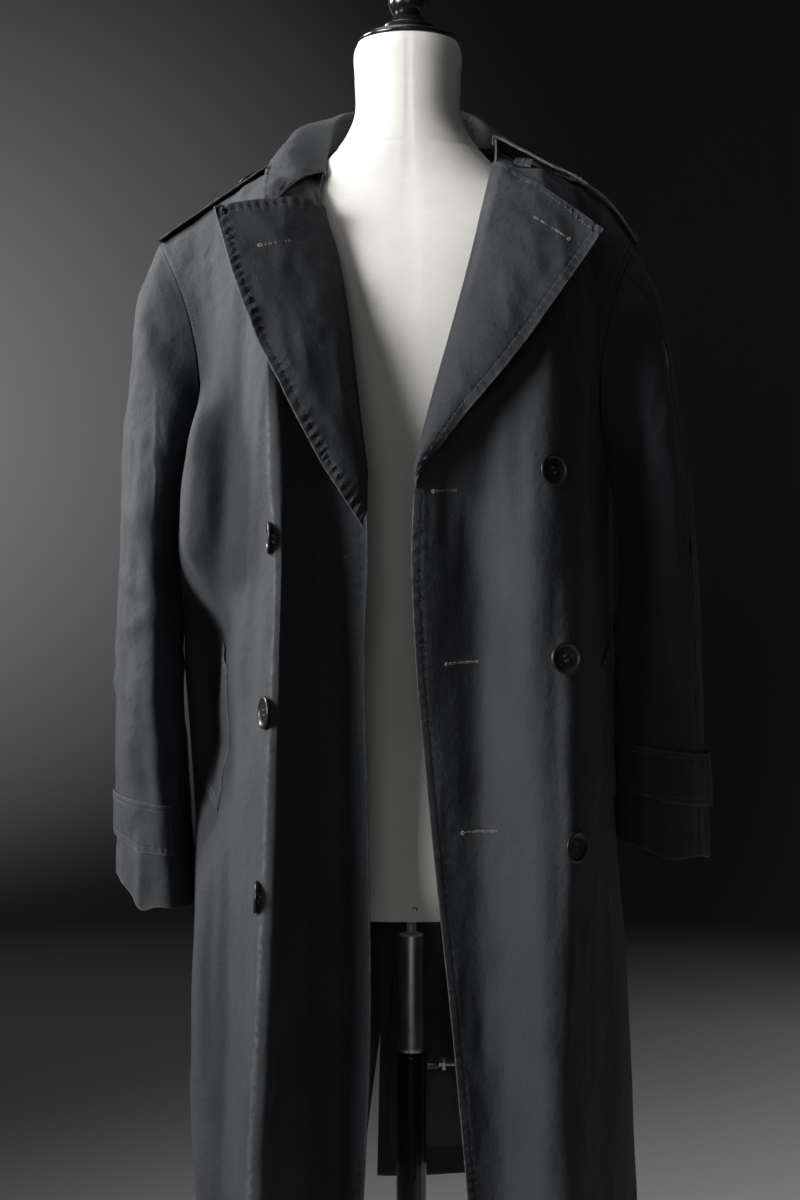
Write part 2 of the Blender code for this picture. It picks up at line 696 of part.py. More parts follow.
# ---------------------------------------------------------------- small pieces
def add_button(name, sheet, u, v, size=1.0):
    """A button with a raised rim, lying on a sheet at (u, v)."""
    out = sheet.outward(u, v)
    spot = sheet.at(u, v) + out * BUTTON_LIFT + Vector((BUST_X, 0, 0))
    r, h = BUTTON_RADIUS * size, BUTTON_HEIGHT * size
    shared_name = f"button_{round(r * 20)}"
    shared = bpy.data.meshes.get(shared_name)
    if shared is None:
        profile = ((0, r * 0.75), (h * 0.3, r), (h * 0.8, r), (h, r * 0.88), (h * 0.6, r * 0.7))
        shared = lathe(shared_name, profile, BUTTON_SIDES)
    made = add_object(name, shared, horn(), spot * MM)
    made.rotation_euler = out.to_track_quat("Z", "Y").to_euler()


def make_front_buttons(fronts):
    """Three buttons down each front: on the left they lie on the flank of its fold."""
    for side, front in fronts.items():
        for number, (line, row) in enumerate(BUTTONS[side], start=1):
            add_button(f"button_{side}_{number}", front, line, row)


def make_welt(side, front):
    """Slanted pocket welt on a front, between its crease and its side."""
    front_edge_ends = [Vector(end) for end in WELT_FRONT_EDGE]
    back_edge_ends = [Vector(end) for end in WELT_BACK_EDGE]

    def point(across, down):
        line, row = (front_edge_ends[0].lerp(front_edge_ends[1], down)
                     .lerp(back_edge_ends[0].lerp(back_edge_ends[1], down), across))
        return front.at(line if side == "left" else LAST_LINE - line, row, CLOTH + 2 * LAY_GAP)

    sheet = Sheet([0, 0.5, 1], [k / 6 for k in range(7)], point, flip=side == "left")
    sheet.build(f"pocket_welt_{side}", CLOTH, gabardine())


def make_throat_tab(front):
    """The strap that closes the throat, folded away on the right shoulder under the collar."""
    first, last = THROAT_ROWS

    def point(line, k):
        lift = DOUBLE + 2 * LAY_GAP + THROAT_LIFT * k * k
        return front.at(line, first + (last - first) * k, lift)

    sheet = Sheet(THROAT_LINES, [0, 0.25, 0.5, 0.75, 1], point)
    sheet.build("throat_tab", DOUBLE, gabardine())


def make_epaulette(side):
    """Shoulder strap from the sleeve seam to the collar."""
    rows = [Vector(row[1:]) for row in EPAULETTE[side]]
    shares = [row[0] for row in EPAULETTE[side]]

    def point(share, across):
        lift, half_width = rows[shares.index(share)]
        y = half_width * across
        return seam_point(side, share) + Vector((0, y - 2, lift - EPAULETTE_CURVE * y * y))

    sheet = Sheet(shares, [-1, -0.5, 0, 0.5, 1], point, lambda share, across: (0, 0, -1))
    sheet.build(f"epaulette_{side}", DOUBLE, gabardine())
    add_button(f"epaulette_button_{side}", sheet, EPAULETTE_BUTTON[side], 0.0, SMALL_BUTTON)


def make_cuff_strap(side, sleeves):
    """Strap round the sleeve's front, from its hidden end to a free end that stands off."""
    steps = list(range(6, -4, -1)) if side == "left" else list(range(7, -2, -1))
    top, bottom = CUFF_STRAP[side]
    heights = [top + (bottom - top) * k / 3 for k in range(4)]
    last = len(steps) - 1

    def on_sleeve(sixteenth, station, out):
        for sheet in sleeves.values():
            if sheet.us[0] <= sixteenth <= sheet.us[-1]:
                return sheet.at(sixteenth, station, out)
        return sleeves["top"].at(sixteenth - SLEEVE_SIDES, station, out)

    def point(k, station):
        free = max(0.0, 1 - (last - k) / 3)
        curl = STRAP_CURL * free * (1 if station == top else 0.6)
        return on_sleeve(steps[k], station, DOUBLE + LAY_GAP + curl)

    def inward(k, station):
        return on_sleeve(steps[k], station, 0) - on_sleeve(steps[k], station, DOUBLE)

    sheet = Sheet(range(last + 1), heights, point, inward)
    sheet.build(f"cuff_strap_{side}", DOUBLE, gabardine())
    add_button(f"cuff_button_{side}", sheet, last - 0.6, (top + bottom) / 2, SMALL_BUTTON)


# ---------------------------------------------------------------- bust and stand
def make_bust():
    """The padded torso, the cap over its cut neck, and the finial on the cap."""
    profile = [(z, width) for z, width, _ in BUST]
    depths = [depth for _, _, depth in BUST]
    turned("bust", profile, canvas(), BUST_SIDES, (BUST_X, 0, 0), depths)
    cap = ((0, 48), (3, 49.5), (7, 47), (8, 30), (11, 27), (18, 26), (20, 18), (26, 16))
    cap_base = NECK_TOP + SEAM_GAP
    turned("neck_cap", cap, black_gloss(), place=(BUST_X, 0, cap_base))
    finial = ((0, 12), (6, 17), (16, 20), (26, 18), (34, 11), (38, 9), (44, 12), (50, 9), (54, 3))
    turned("finial", finial, black_gloss(), 20, (BUST_X, 0, cap_base + cap[-1][0] + SEAM_GAP))


def make_stand():
    """Bolt, steel tube, black column, clamp screw and round base, from the bust down."""
    bolt = TORSO_BOTTOM - TUBE_TOP - 2 * SEAM_GAP
    turned("post_bolt", ((0, 5), (bolt, 5)), steel(), 12, (0, 0, TUBE_TOP + SEAM_GAP))
    tube = TUBE_TOP - COLUMN_TOP - SEAM_GAP
    turned("steel_tube",
           ((0, TUBE_RADIUS - 4), (2, TUBE_RADIUS - 1), (6, TUBE_RADIUS), (tube - 1, TUBE_RADIUS),
            (tube, TUBE_RADIUS - 1)), steel(), place=(0, 0, COLUMN_TOP + SEAM_GAP))
    turned("column",
           ((BASE_HEIGHT + SEAM_GAP, COLUMN_RADIUS), (COLUMN_TOP - 1, COLUMN_RADIUS),
            (COLUMN_TOP, COLUMN_RADIUS - 1)), black_gloss())
    turned("base",
           ((0, BASE_RADIUS), (8, BASE_RADIUS), (12, BASE_RADIUS - 3), (16, BASE_RADIUS - 30),
            (20, 60), (BASE_HEIGHT, 40)), black_gloss(), 40)
    boss_foot = COLUMN_RADIUS + SEAM_GAP
    boss_profile = ((0, 4.5), (10, 4.5), (11.5, 3.5))
    boss = turned("screw_boss", boss_profile, black_gloss(), 14, (boss_foot, 0, SCREW_HEIGHT))
    screw = turned("clamp_screw", ((0, 2.5), (3, 2.5), (3.5, 6), (7, 6), (7.5, 1.8), (18, 1.8)),
                   steel(), 14, (boss_foot + boss_profile[-1][0] + SEAM_GAP, 0, SCREW_HEIGHT))
    for piece in (boss, screw):
        piece.rotation_euler = (0, pi / 2, 0)


def clear_scene():
    for old in list(bpy.data.objects):
        bpy.data.objects.remove(old, do_unlink=True)


def main():
    clear_scene()
    fronts = {side: make_front(side) for side in ("left", "right")}
    backs = {side: make_back(side) for side in ("left", "right")}
    for side in ("left", "right"):
        make_lining(side, backs[side])
        sleeves = make_sleeve(side)
        make_lapel(side, fronts[side])
        make_welt(side, fronts[side])
        make_epaulette(side)
        make_cuff_strap(side, sleeves)
    make_front_buttons(fronts)
    make_collar(fronts)
    make_throat_tab(fronts["right"])
    make_bust()
    make_stand()


main()
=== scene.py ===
"""How a double-breasted trench coat on a limbless dress form looks: cloth, stitching and finishes.

The coat's tables are the CAD part's, with the left side seam a little further out. They are in
millimetres from the bust's centre line, in the frame's axes, with left and right as the viewer sees
them. Upright lines run round the body from the left front edge (0) by the left side seam (5), the
centre back (9) and the right side seam (13) to the right front edge (18). Rows 0 to 5 are the
levels from hem to underarm, and rows 5 to 9 rise to the shoulder.
"""

from functools import lru_cache
from math import asin, cos, pi, radians, sin

import bmesh
import bpy
import numpy as np
from mathutils import Matrix, Vector
from mathutils.bvhtree import BVHTree


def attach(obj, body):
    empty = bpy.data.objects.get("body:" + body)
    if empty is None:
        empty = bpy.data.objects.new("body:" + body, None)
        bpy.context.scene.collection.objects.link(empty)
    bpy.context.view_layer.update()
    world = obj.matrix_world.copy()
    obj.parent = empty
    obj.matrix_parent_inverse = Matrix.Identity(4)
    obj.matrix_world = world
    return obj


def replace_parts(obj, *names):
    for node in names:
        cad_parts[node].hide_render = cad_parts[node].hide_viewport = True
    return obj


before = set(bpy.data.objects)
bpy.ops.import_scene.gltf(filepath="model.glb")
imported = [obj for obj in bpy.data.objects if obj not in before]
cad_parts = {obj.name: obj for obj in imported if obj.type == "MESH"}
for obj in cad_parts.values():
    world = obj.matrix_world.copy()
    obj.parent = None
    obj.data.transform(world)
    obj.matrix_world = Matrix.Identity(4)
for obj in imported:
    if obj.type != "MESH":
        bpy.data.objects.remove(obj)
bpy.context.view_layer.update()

MM = 0.001

# ---------------------------------------------------------------- the coat's shape, millimetres
CLOTH, DOUBLE, LINING = 1.5, 2.0, 1.0     # walls of one thickness, of two, and of the lining
SEAM_GAP, LAY_GAP = 0.3, 0.6
FAR, CLEAR_REACH = 1000, 45
BUST_X = -3.5                             # the bust's centre line in the frame
SIDES = ("left", "right")
OUTWARD = {"left": -1, "right": 1}
FORWARD, UP = np.array((0, -1, 0)), np.array((0, 0, 1))
UNDERARM_ROW, SHOULDER_ROW = 5, 9
LEFT_SIDE, CENTRE_BACK, RIGHT_SIDE, LAST_LINE = 5, 9, 13, 18
ARMHOLE_HALF_DEPTH = 84
ARMHOLE_INSET = {"front": 27, "back": 14}
SHOULDER_CROWN = {"left": 0, "right": 22}
VENT_TOP, VENT_SPREAD, VENT_LIFT = 567, 17, 15
LINING_HEM = 30
EPAULETTE_CURVE = 0.004
STRAP_CURL = 8

# level, then x and y of each line: edge, dip, ridge, crease, flank and side; on the right the third
# line is a swell and the fourth a turn
FRONT = {
    "left": (
        (410, (-45, -150), (-65, -135), (-145, -212), (-163, -158), (-187, -80), (-198, 5)),
        (620, (-36, -155), (-59, -136), (-136, -212), (-157, -158), (-192, -85), (-208, 2)),
        (820, (-38, -160), (-60, -141), (-128, -212), (-152, -163), (-183, -92), (-212, 8)),
        (980, (-41, -165), (-61, -146), (-123, -212), (-149, -165), (-176, -112), (-222, 14)),
        (1060, (-38, -167), (-62, -150), (-122, -208), (-143, -165), (-194, -104), (-221, 8)),
        (1140, (-40, -165), (-66, -157), (-127, -192), (-146, -168), (-188, -112), (-213, 3)),
    ),
    "right": (
        (410, (60, -150), (86, -138), (142, -186), (170, -150), (203, -85), (229, 5)),
        (620, (41, -155), (69, -140), (141, -190), (170, -150), (200, -85), (219, 0)),
        (820, (20, -160), (55, -147), (149, -188), (172, -145), (192, -80), (204, 0)),
        (980, (6, -165), (43, -152), (142, -186), (168, -145), (188, -76), (198, 0)),
        (1060, (3, -167), (38, -155), (137, -185), (166, -145), (183, -86), (197, 2)),
        (1140, (6, -166), (42, -158), (133, -180), (162, -145), (177, -100), (198, 3)),
    ),
}
# level, then x and y of each half's flank, blade and neck lines, and of the centre back
BACK = (
    (410, (186, 86), (124, 144), (64, 132), (-32, 122)),
    (620, (190, 84), (124, 141), (62, 132), (-26, 124)),
    (820, (184, 82), (120, 138), (60, 134), (-12, 127)),
    (980, (174, 82), (114, 134), (60, 134), (-5, 131)),
    (1060, (178, 86), (118, 134), (62, 134), (-2, 132)),
    (1140, (182, 90), (122, 138), (64, 139), (0, 135)),
)
# the front edge from underarm level up the roll line to the neck point, evenly along rows 5 to 9
ROLL = {
    "left": ((-40, -165, 1140), (-48, -155, 1205), (-57, -136, 1280), (-68, -110, 1345),
             (-83, -82, 1398), (-88, 3, 1462)),
    "right": ((6, -166, 1140), (23, -150, 1205), (44, -133, 1280), (62, -110, 1350),
              (80, -66, 1428), (90, 3, 1470)),
}
TIP = {"left": (-248, 3, 1375), "right": (229, 3, 1372)}
UNDERARM = {"left": (-213, 3, 1140), "right": (198, 3, 1140)}
NAPE = (0, 72, 1482)
SEAM_SHARE = {"dip": 0.16, "ridge": 0.32, "crease": 0.5, "flank": 0.64, "blade": 0.4}
LAG = {"dip": 1.0, "ridge": 1.15, "crease": 1.4, "flank": 1.8, "blade": 1.35, "neck": 1.1}
FRONT_INNER = ("dip", "ridge", "crease", "flank")
FULLNESS = 0.92
FOLD_SOFTNESS = {2: 0.3, 3: 0.6}

# sleeves, armhole to cuff: outer x and z, inner x and z, half depth, centre y
SLEEVE = {
    "left": (
        ((-262, 1335), (-220, 1118), 88, 3),
        ((-272, 1265), (-225, 1092), 93, 5),
        ((-280, 1190), (-229, 1055), 95, 8),
        ((-286, 1060), (-228, 985), 92, 9),
        ((-289, 960), (-227, 925), 88, 9),
        ((-291, 850), (-222, 840), 84, 9),
        ((-290, 737), (-210, 720), 80, 9),
    ),
    "right": (
        ((247, 1325), (206, 1118), 86, 3),
        ((262, 1255), (209, 1092), 90, 5),
        ((275, 1190), (210, 1055), 92, 8),
        ((287, 1060), (209, 985), 88, 9),
        ((292, 965), (208, 925), 84, 9),
        ((295, 850), (207, 872), 80, 9),
        ((298, 763), (207, 784), 76, 9),
    ),
}
SLEEVE_SIDES = 16
SLEEVE_SEAMS = {"left": (-6, 6), "right": (-6, 2)}
CUFF_STRAP = {"left": (6.17, 6.57), "right": (5.84, 6.40)}
CUFF_STRAP_ENDS = {"left": (6, -3), "right": (7, -1)}

# the neck seam, fold, crown and outer edge at seven stations from the left end to the right
COLLAR = (
    ((-88, -72, 1403), (-84, -42, 1438), (-101, -66, 1430), (-136, -106, 1380)),
    ((-92, 0, 1462), (-83, -2, 1471), (-110, -4, 1484), (-140, -16, 1452)),
    ((-64, 55, 1480), (-68, 56, 1516), (-92, 70, 1513), (-116, 100, 1466)),
    ((0, 77, 1486), (0, 80, 1531), (0, 99, 1524), (0, 132, 1458)),
    ((65, 55, 1483), (66, 56, 1517), (92, 70, 1503), (118, 102, 1466)),
    ((93, 0, 1470), (88, 4, 1484), (113, 2, 1470), (150, 12, 1453)),
    ((86, -52, 1447), (87, -32, 1474), (122, -46, 1455), (174, -62, 1425)),
)
LAPEL = {
    "left": ((-40, -174, 1084), (-71, -189, 1133), (-112, -196, 1207), (-153, -180, 1297),
             (-181, -138, 1386)),
    "right": ((3, -174, 1127), (51, -189, 1188), (95, -190, 1241), (140, -176, 1304),
              (181, -142, 1366)),
}
LAPEL_ROWS = {"left": (4.45, 8.2), "right": (4.72, 8.5)}
LAPEL_START = 0.015                       # how far up its edge a lapel's first row lies
ROLL_OUT = {"left": 0, "right": 32}       # how far an edge stands forward at its break
ROLL_OUT_REACH = 52
TURN_GAP, TURN_REACH = 5.5, 14
LAPEL_TOP_GAP, LAPEL_CROWN, ROLL_BACK = 5, 9, 5

# share of the shoulder seam from the neck, lift off the seam, and half width, at six places
EPAULETTE = {
    "left": ((0.31, 17, 8), (0.38, 17, 21), (0.52, 14, 23), (0.72, 10, 24), (0.88, 6, 25),
             (0.995, 2.9, 25)),
    "right": ((0.31, 5, 8), (0.38, 4, 19), (0.52, 3.1, 20), (0.72, 4.0, 24), (0.88, 3.6, 24),
              (0.97, 3.0, 22)),
}
EPAULETTE_BUTTON = {"left": 0.45, "right": 0.61}
THROAT_LINES = (16.55, 17.2)
THROAT_ROWS = (8.28, 8.62)
THROAT_LIFT = 3
WELT_FRONT_EDGE = ((3.6, 2.86), (4.0, 2.0))
WELT_BACK_EDGE = ((4.15, 3.0), (4.5, 2.12))
BUTTONS = {
    "left": ((2.17, 4.2), (2.17, 2.62), (2.15, 1.67)),
    "right": ((16.0, 4.9), (16.0, 2.92), (15.9, 1.88)),
}

# the bust from its underside up: level, half width, half depth
BUST = (
    (714, 150, 100), (730, 158, 107), (800, 165, 112), (900, 157, 108), (1020, 142, 102),
    (1120, 150, 108), (1220, 160, 112), (1300, 167, 110), (1350, 170, 98), (1380, 168, 84),
    (1400, 156, 73), (1418, 134, 63), (1436, 104, 56), (1452, 87, 54), (1466, 74, 53),
    (1482, 62, 53), (1500, 54, 53), (1540, 53, 53), (1568, 53, 53), (1575, 50, 50),
)


def smooth(points, t, softness=None):
    """Point at t, counted in points from the first, on a curve that passes through them all."""
    softness = softness or {}
    last = len(points) - 1
    i = max(0, min(int(t), last - 1))
    f = t - i
    start, end = points[i], points[i + 1]
    step = end - start
    length = max(step.length, 1e-6)

    def slope(k):
        if k == 0 or k == last:
            return step
        before = points[k] - points[k - 1]
        after = points[k + 1] - points[k]
        b = max(before.length, 1e-6)
        a = max(after.length, 1e-6)
        return (before * (a / b) + after * (b / a)) / (a + b) * length

    m0 = slope(i) * softness.get(i, 1.0)
    m1 = slope(i + 1) * softness.get(i + 1, 1.0)
    f2, f3 = f * f, f * f * f
    return (start * (2 * f3 - 3 * f2 + 1) + m0 * (f3 - 2 * f2 + f)
            + end * (3 * f2 - 2 * f3) + m1 * (f3 - f2))


def ease(x):
    """0 up to x 0, 1 from x 1, and a soft step between."""
    x = np.clip(x, 0.0, 1.0)
    return x * x * (3 - 2 * x)


def armhole(side, angle):
    """Point of an armhole: 0 degrees is the shoulder tip, 180 the underarm, through the front."""
    tip, under = Vector(TIP[side]), Vector(UNDERARM[side])
    a = radians(angle)
    inset = ARMHOLE_INSET["front" if sin(a) > 0 else "back"] * sin(a) ** 2
    across = Vector((-OUTWARD[side] * inset, -ARMHOLE_HALF_DEPTH * sin(a), 0))
    return (tip + under) / 2 + (tip - under) / 2 * cos(a) + across


def level_point(table, column, row):
    """Point of an upright line at a row between hem and underarm."""
    return smooth([Vector((*levels[column], levels[0])) for levels in table], row)


def rise(chest, seam, f, lag=1.0):
    """Point that rises from the chest to the shoulder seam on a quarter oval, f from 0 to 1."""
    a = asin(min(1.0, sin(f * pi / 2) ** lag))
    f = a * 2 / pi
    out = max(cos(a), 0.0) ** FULLNESS
    across = f * f * (3 - 2 * f)
    return Vector((chest.x + (seam.x - chest.x) * across,
                   seam.y + (chest.y - seam.y) * out,
                   chest.z + (seam.z - chest.z) * sin(a)))


def seam_point(side, share):
    """Point of a shoulder seam, from the neck point (0) to the shoulder tip (1)."""
    neck, tip = Vector(ROLL[side][-1]), Vector(TIP[side])
    return neck.lerp(tip, share) + Vector((0, 0, SHOULDER_CROWN[side] * sin(pi * share * share)))


def roll_lift(side, row):
    """How far an edge and its roll line stand forward of their table, from the waist up."""
    first = LAPEL_ROWS[side][0]
    share = 0.5 * ease((row - 2.2) / 1.6) + 0.5 * ease((row - first) / 0.5)
    return ROLL_OUT[side] * float(share * ease((SHOULDER_ROW - row) / 1.6))


def shoulder_share(row):
    """How far a row lies from the underarm level (0) to the shoulder seam (1)."""
    return (row - UNDERARM_ROW) / (SHOULDER_ROW - UNDERARM_ROW)


def front_edge(side, row):
    """The front edge, and above the underarm level the roll line."""
    if row <= UNDERARM_ROW:
        return level_point(FRONT[side], 1, row)
    roll = [Vector(p) for p in ROLL[side]]
    return smooth(roll, shoulder_share(row) * (len(roll) - 1))


@lru_cache(None)
def front_section(side, row):
    """Six points across a front at a row, from its edge to its side seam or armhole."""
    if row <= UNDERARM_ROW:
        return [level_point(FRONT[side], column, row) for column in range(1, 7)]
    f = shoulder_share(row)
    points = [front_edge(side, row)]
    for column, name in enumerate(FRONT_INNER, start=2):
        chest = level_point(FRONT[side], column, UNDERARM_ROW)
        points.append(rise(chest, seam_point(side, SEAM_SHARE[name]), f, LAG[name]))
    points.append(armhole(side, 180 * (1 - f)))
    return points


@lru_cache(None)
def back_section(row):
    """Nine points across the back at a row, from the left side seam or armhole to the right."""
    f = max(0.0, shoulder_share(row))
    low = min(row, UNDERARM_ROW)
    if f == 0:
        left, right = (level_point(FRONT[side], 6, low) for side in SIDES)
    else:
        left, right = (armhole(side, -180 * (1 - f)) for side in SIDES)
    halves = {}
    for side, sign in OUTWARD.items():
        points = []
        for column, name in enumerate(("flank", "blade", "neck"), start=1):
            p = level_point(BACK, column, low)
            p.x *= sign
            seam = seam_point(side, SEAM_SHARE.get(name, 0.0))
            points.append(rise(p, seam, f, LAG[name]) if f else p)
        halves[side] = points
    centre = level_point(BACK, 4, low)
    if f:
        centre = rise(centre, Vector(NAPE), f)
    return [left, *halves["left"], centre, *reversed(halves["right"]), right]


def past_seam(end, near, other, row):
    """The point past a seam: the other panel's, and above the underarm more and more its own."""
    if row <= UNDERARM_ROW:
        return other
    return (end * 2 - near).lerp(other, 1 - float(ease(row - UNDERARM_ROW)))


@lru_cache(None)
def front_guide(side, row):
    """A front's section with one point past its side seam, which sets how the cloth leaves it."""
    section = front_section(side, row)
    other = back_section(row)[1 if side == "left" else -2]
    return [*section, past_seam(section[5], section[4], other, row)]


@lru_cache(None)
def back_guide(row):
    """The back's section with a point past each side seam."""
    section = back_section(row)
    first, last = (past_seam(section[end], section[near], front_section(side, row)[4], row)
                   for side, near, end in (("left", 1, 0), ("right", -2, -1)))
    return [first, *section, last]


def front_point(side, line, row):
    """Point of a front's outer face; line 0 is its edge and line 5 its side seam."""
    soft = FOLD_SOFTNESS if side == "left" else None
    return smooth(front_guide(side, row), line, soft)


def back_point(line, row):
    """Point of the back's outer face; its neck lines turn sharper towards the shoulder seams."""
    corner = min(1.0, 1 - shoulder_share(row))
    return smooth(back_guide(row), line - LEFT_SIDE + 1, {4: corner, 6: corner})


def vent_shift(z):
    """How far the vent's left edge has swung from the centre back at a level."""
    open_share = max(0.0, VENT_TOP - z) / (VENT_TOP - BACK[0][0])
    return Vector((-VENT_SPREAD * open_share, VENT_LIFT * open_share, 0))


def sleeve_point(side, sixteenth, station):
    """Point of a sleeve's outer face; station 0 is the armhole and 7 the cuff."""
    angle = 360 * sixteenth / SLEEVE_SIDES
    a = radians(angle)
    rings = [armhole(side, angle) + Vector((OUTWARD[side] * SEAM_GAP * 2, 0, 0))]
    for (outer_x, outer_z), (inner_x, inner_z), half_depth, y in SLEEVE[side]:
        outer, inner = Vector((outer_x, y, outer_z)), Vector((inner_x, y, inner_z))
        rings.append((outer + inner) / 2 + (outer - inner) / 2 * cos(a)
                     + Vector((0, -half_depth * sin(a), 0)))
    return smooth(rings, station)


def lapel_point(side, across, up):
    """Point of a lapel's outer face, from the roll (across 0) to the edge (across 3).

    up goes from 0 at the break to 1 at the top."""
    first, last = LAPEL_ROWS[side]
    row = first + (last - first) * up
    roll = front_edge(side, row)
    roll += Vector((0, -DOUBLE - LAY_GAP - LAPEL_TOP_GAP * up ** 4, 0))
    roll.y -= roll_lift(side, row)
    outer = [Vector(p) for p in LAPEL[side]]
    edge = smooth(outer, up * (len(outer) - 1))
    edge.y -= roll_lift(side, first) * max(0.0, 1 - 1.5 * up)
    width = edge - roll
    near = roll + width * 0.12 + Vector((0, -ROLL_BACK * min(1.0, up * 3), 0))
    crown = roll + width * 0.5 + Vector((0, -LAPEL_CROWN * min(1.0, up * 3), 0))
    return smooth([roll, near, crown, edge], across)


def collar_point(line, station):
    """Point of the collar; lines 0 to 3 are the neck seam, fold, crown and outer edge."""
    lines = [smooth([Vector(row[k]) for row in COLLAR], station) for k in range(4)]
    if line <= 1:
        return lines[0].lerp(lines[1], line)
    lines[1] = lines[1] + Vector((0, 0, DOUBLE + SEAM_GAP))
    return smooth(lines[1:], line - 1)


# ---------------------------------------------------------------- soft random fields
KNOTS, TABLE_SIDE = 1024, 32


def wander(along, pitch, seed):
    """A smooth random curve from -1 to 1 that turns about once a pitch."""
    knots = np.random.default_rng(seed).uniform(-1, 1, KNOTS)
    t = np.asarray(along) / pitch
    i = np.floor(t).astype(int)
    f = ease(t - i)
    return knots[i % KNOTS] * (1 - f) + knots[(i + 1) % KNOTS] * f


def cloud(points, pitch, seed):
    """A smooth random field from -1 to 1 over points; pitch may differ along x, y and z."""
    table = np.random.default_rng(seed).uniform(-1, 1, (TABLE_SIDE,) * 3)
    q = points / np.asarray(pitch, float)
    i = np.floor(q).astype(int)
    f = ease(q - i)
    total = np.zeros(points.shape[:-1])
    for corner in np.ndindex(2, 2, 2):
        share = np.prod([f[..., k] if corner[k] else 1 - f[..., k] for k in range(3)], axis=0)
        x, y, z = ((i[..., k] + corner[k]) % TABLE_SIDE for k in range(3))
        total += share * table[x, y, z]
    return total


def bump(x, middle, half_width):
    """A soft hump of height 1."""
    return np.exp(-((x - middle) / half_width) ** 2)


# ---------------------------------------------------------------- cloth and thread
EDGES = ("u0", "u1", "v0", "v1")      # a piece's first and last column, first and last row
INNER_STEP = 3                        # rows of the outer face to one row of the inner face
EDGE_STEPS = (0, 0.8, 1.8, 3.1, 4.7, 6.2, 7.2, 8.0, 8.8, 9.8, 11.4, 13.8, 17)
SEAM_STEPS = (0, 1.2, 3, 6, 10)
HEM_STEPS = (0, 0.9, 2.2, 4.5, 8, 12, 16, 20, 23.5, 25, 26.5, 30)
HEM_STITCH = 25
WEAR_REACH, STITCH_RADIUS = 1.3, 0.45


def stations(length, start, end, step_count):
    """Distances along a length: the fixed ones at both ends and even ones between."""
    inner = np.linspace(start[-1], length - end[-1], step_count + 2)[1:-1]
    return [*start, *inner, *(length - e for e in reversed(end))]


def places(curve, low, high, start, end, step_count, samples=60):
    """Where on a curve, from low to high, those stations fall."""
    ts = np.linspace(low, high, samples)
    points = np.array([curve(t)[:] for t in ts])
    lengths = np.concatenate(([0], np.cumsum(np.linalg.norm(np.diff(points, axis=0), axis=1))))
    shrink = min(1.0, 0.45 * lengths[-1] / max(start[-1] + end[-1], 1e-6))
    wanted = stations(lengths[-1], [s * shrink for s in start], [e * shrink for e in end],
                      step_count)
    return np.interp(wanted, lengths, ts)


def cells(nu, nv):
    """The four-sided faces of a grid of nu columns with nv points each."""
    return [(i * nv + j, (i + 1) * nv + j, (i + 1) * nv + j + 1, i * nv + j + 1)
            for i in range(nu - 1) for j in range(nv - 1)]


# unevenness of each kind of piece: height, pitch, step from the piece's seed, how far the calm
# beside its seams reaches and, for long ridges, their slant
RUMPLES = {
    "body": ((3.0, (55, 90, 260), 0, 45), (3.0, (36, 60, 300), 3, 40, 0.4),
             (1.4, (17, 40, 75), 4, 25, 0.8), (0.6, (11, 30, 34), 2, 12)),
    "sleeve": ((3.0, (50, 50, 90), 0, 30), (2.6, (34, 34, 85), 5, 25, 0.7),
               (1.1, (17, 17, 36), 6, 15, -0.8), (0.5, (11, 11, 22), 2, 10)),
    "lapel": ((2.6, (42, 50, 55), 0, 40), (1.5, (26, 30, 40), 4, 30, 0.8),
              (0.7, (12, 14, 16), 1, 30)),
    "leaf": ((1.8, (42, 42, 36), 0, 25), (0.9, (20, 20, 24), 3, 20, 0.6),
             (0.5, (11, 11, 12), 1, 20)),
}


def index_at(value, column):
    """Fractional index of a value in a column that rises or falls."""
    sign = -1 if column[0] > column[-1] else 1
    return np.interp(sign * value, sign * column, np.arange(len(column)))


